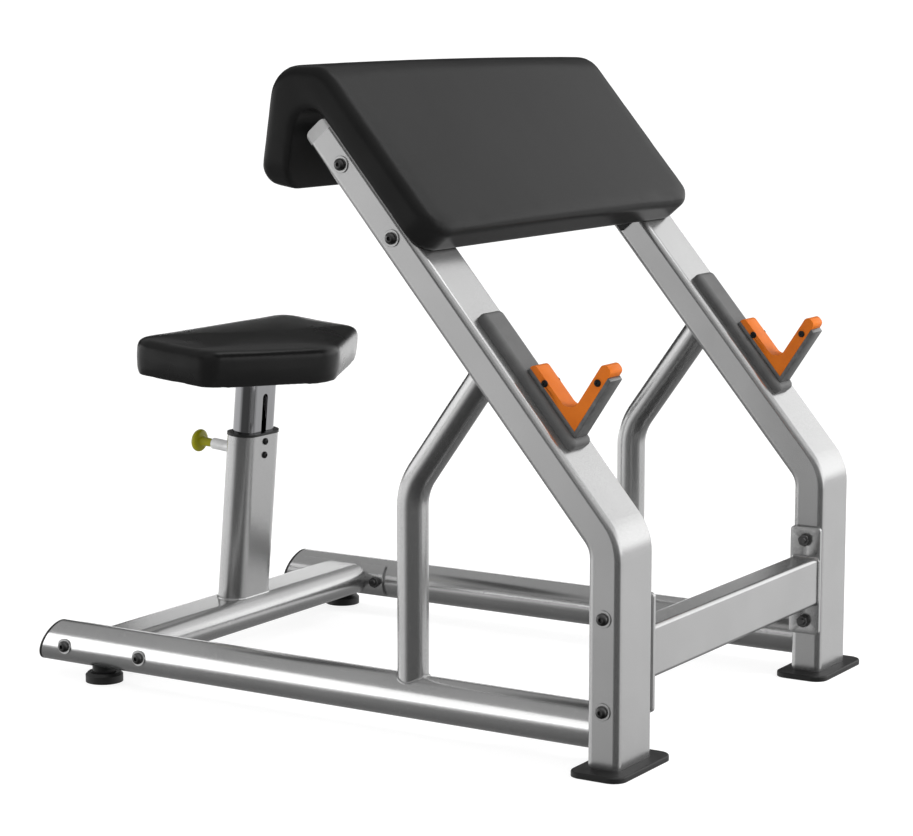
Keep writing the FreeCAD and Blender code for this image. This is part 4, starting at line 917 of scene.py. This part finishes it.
# Way toward the dark side of the room, low on the right, where it starts and ends, and how dim it gets
DARK_SIDE = Vector((0.51, -0.81, -0.29))
DARK_SIDE_SHARES = (0.35, 0.75)
DIM_SHARE = 0.14
# Panel along the floor that lights only the rails
RAIL_PANEL = ("strip", (-0.1, -0.56, 0.12), (1.2, 0.24), 1.9, True)
# Sky in front and behind: share of the way from straight down to straight up, and grey tone there
FRONT_SKY_SHARES = ((0, 0.08), (0.3, 0.3), (0.38, 0.88), (0.47, 0.8), (0.52, 1.8), (0.6, 1.7), (0.67, 1.65),
                    (0.75, 1.05), (1, 0.6))
REAR_SKY_SHARES = ((0, 0.08), (0.3, 0.3), (0.38, 0.95), (0.44, 1.08), (0.485, 1.4), (0.515, 0.3),
                   (0.54, 0.02), (0.68, 0.02), (0.74, 0.42), (1, 0.45))
# Shares of the way forward between which the sky changes from the rear tones to the front ones
SKY_CHANGE_SHARES = (-0.2, 0.1)


def make_light():
    world = bpy.data.worlds.new("studio")
    scene.world = world
    tree = Tree(world)
    direction = tree.add("ShaderNodeTexCoord").outputs["Generated"]
    parts = tree.add("ShaderNodeSeparateXYZ", {"Vector": direction}).outputs
    height = tree.range(parts["Z"], 0, 1, -1, 1)
    front = tree.ramp(height, *[(share, grey(tone)) for share, tone in FRONT_SKY_SHARES])
    rear = tree.ramp(height, *[(share, grey(tone)) for share, tone in REAR_SKY_SHARES])
    change = tree.range(parts["X"], 0, 1, *SKY_CHANGE_SHARES)
    sky = tree.add("ShaderNodeMix", {"Factor": change, 6: rear, 7: front}, data_type="RGBA").outputs[2]
    facing = tree.add("ShaderNodeVectorMath", {0: direction, 1: DARK_SIDE}, operation="DOT_PRODUCT")
    dim = tree.range(facing.outputs["Value"], 1, DIM_SHARE, *DARK_SIDE_SHARES)
    background = tree.add("ShaderNodeBackground", {"Color": sky, "Strength": dim})
    tree.add("ShaderNodeOutputWorld", {"Surface": background.outputs["Background"]})
    for panel in PANELS:
        soft_light(*panel)
    rails = bpy.data.collections.new("rails")
    for side in ("right", "left"):
        rails.objects.link(nodes[side + "_base_rail"])
    soft_light(*RAIL_PANEL).light_linking.receiver_collection = rails
    scene.view_settings.view_transform = "Standard"


make_camera()
make_stage()
make_light()
for name, node in nodes.items():
    dress(node, slot_of[name])
make_arm_pad()
make_seat()
make_bolts()
make_plunger()
make_welds()
make_screws("guide_screws", seat_front, GUIDE_HEAD_RISE, (1,))
make_screws("hook_screws", ACROSS, HOOK_HEAD_RISE, (1, -1))
for side in ("right", "left"):
    # Painted shade: the foot bosses belong to the silver-painted frame, but are dressed in black steel to
    # stand for the shade under the rails.
    dress(nodes[side + "_foot_boss"], "black_steel")
    softened(side + "_hook_liner", LINER_ROUND)
    softened(side + "_hook_bracket", BRACKET_ROUND)
    softened(side + "_beam_plate", PLATE_ROUND)
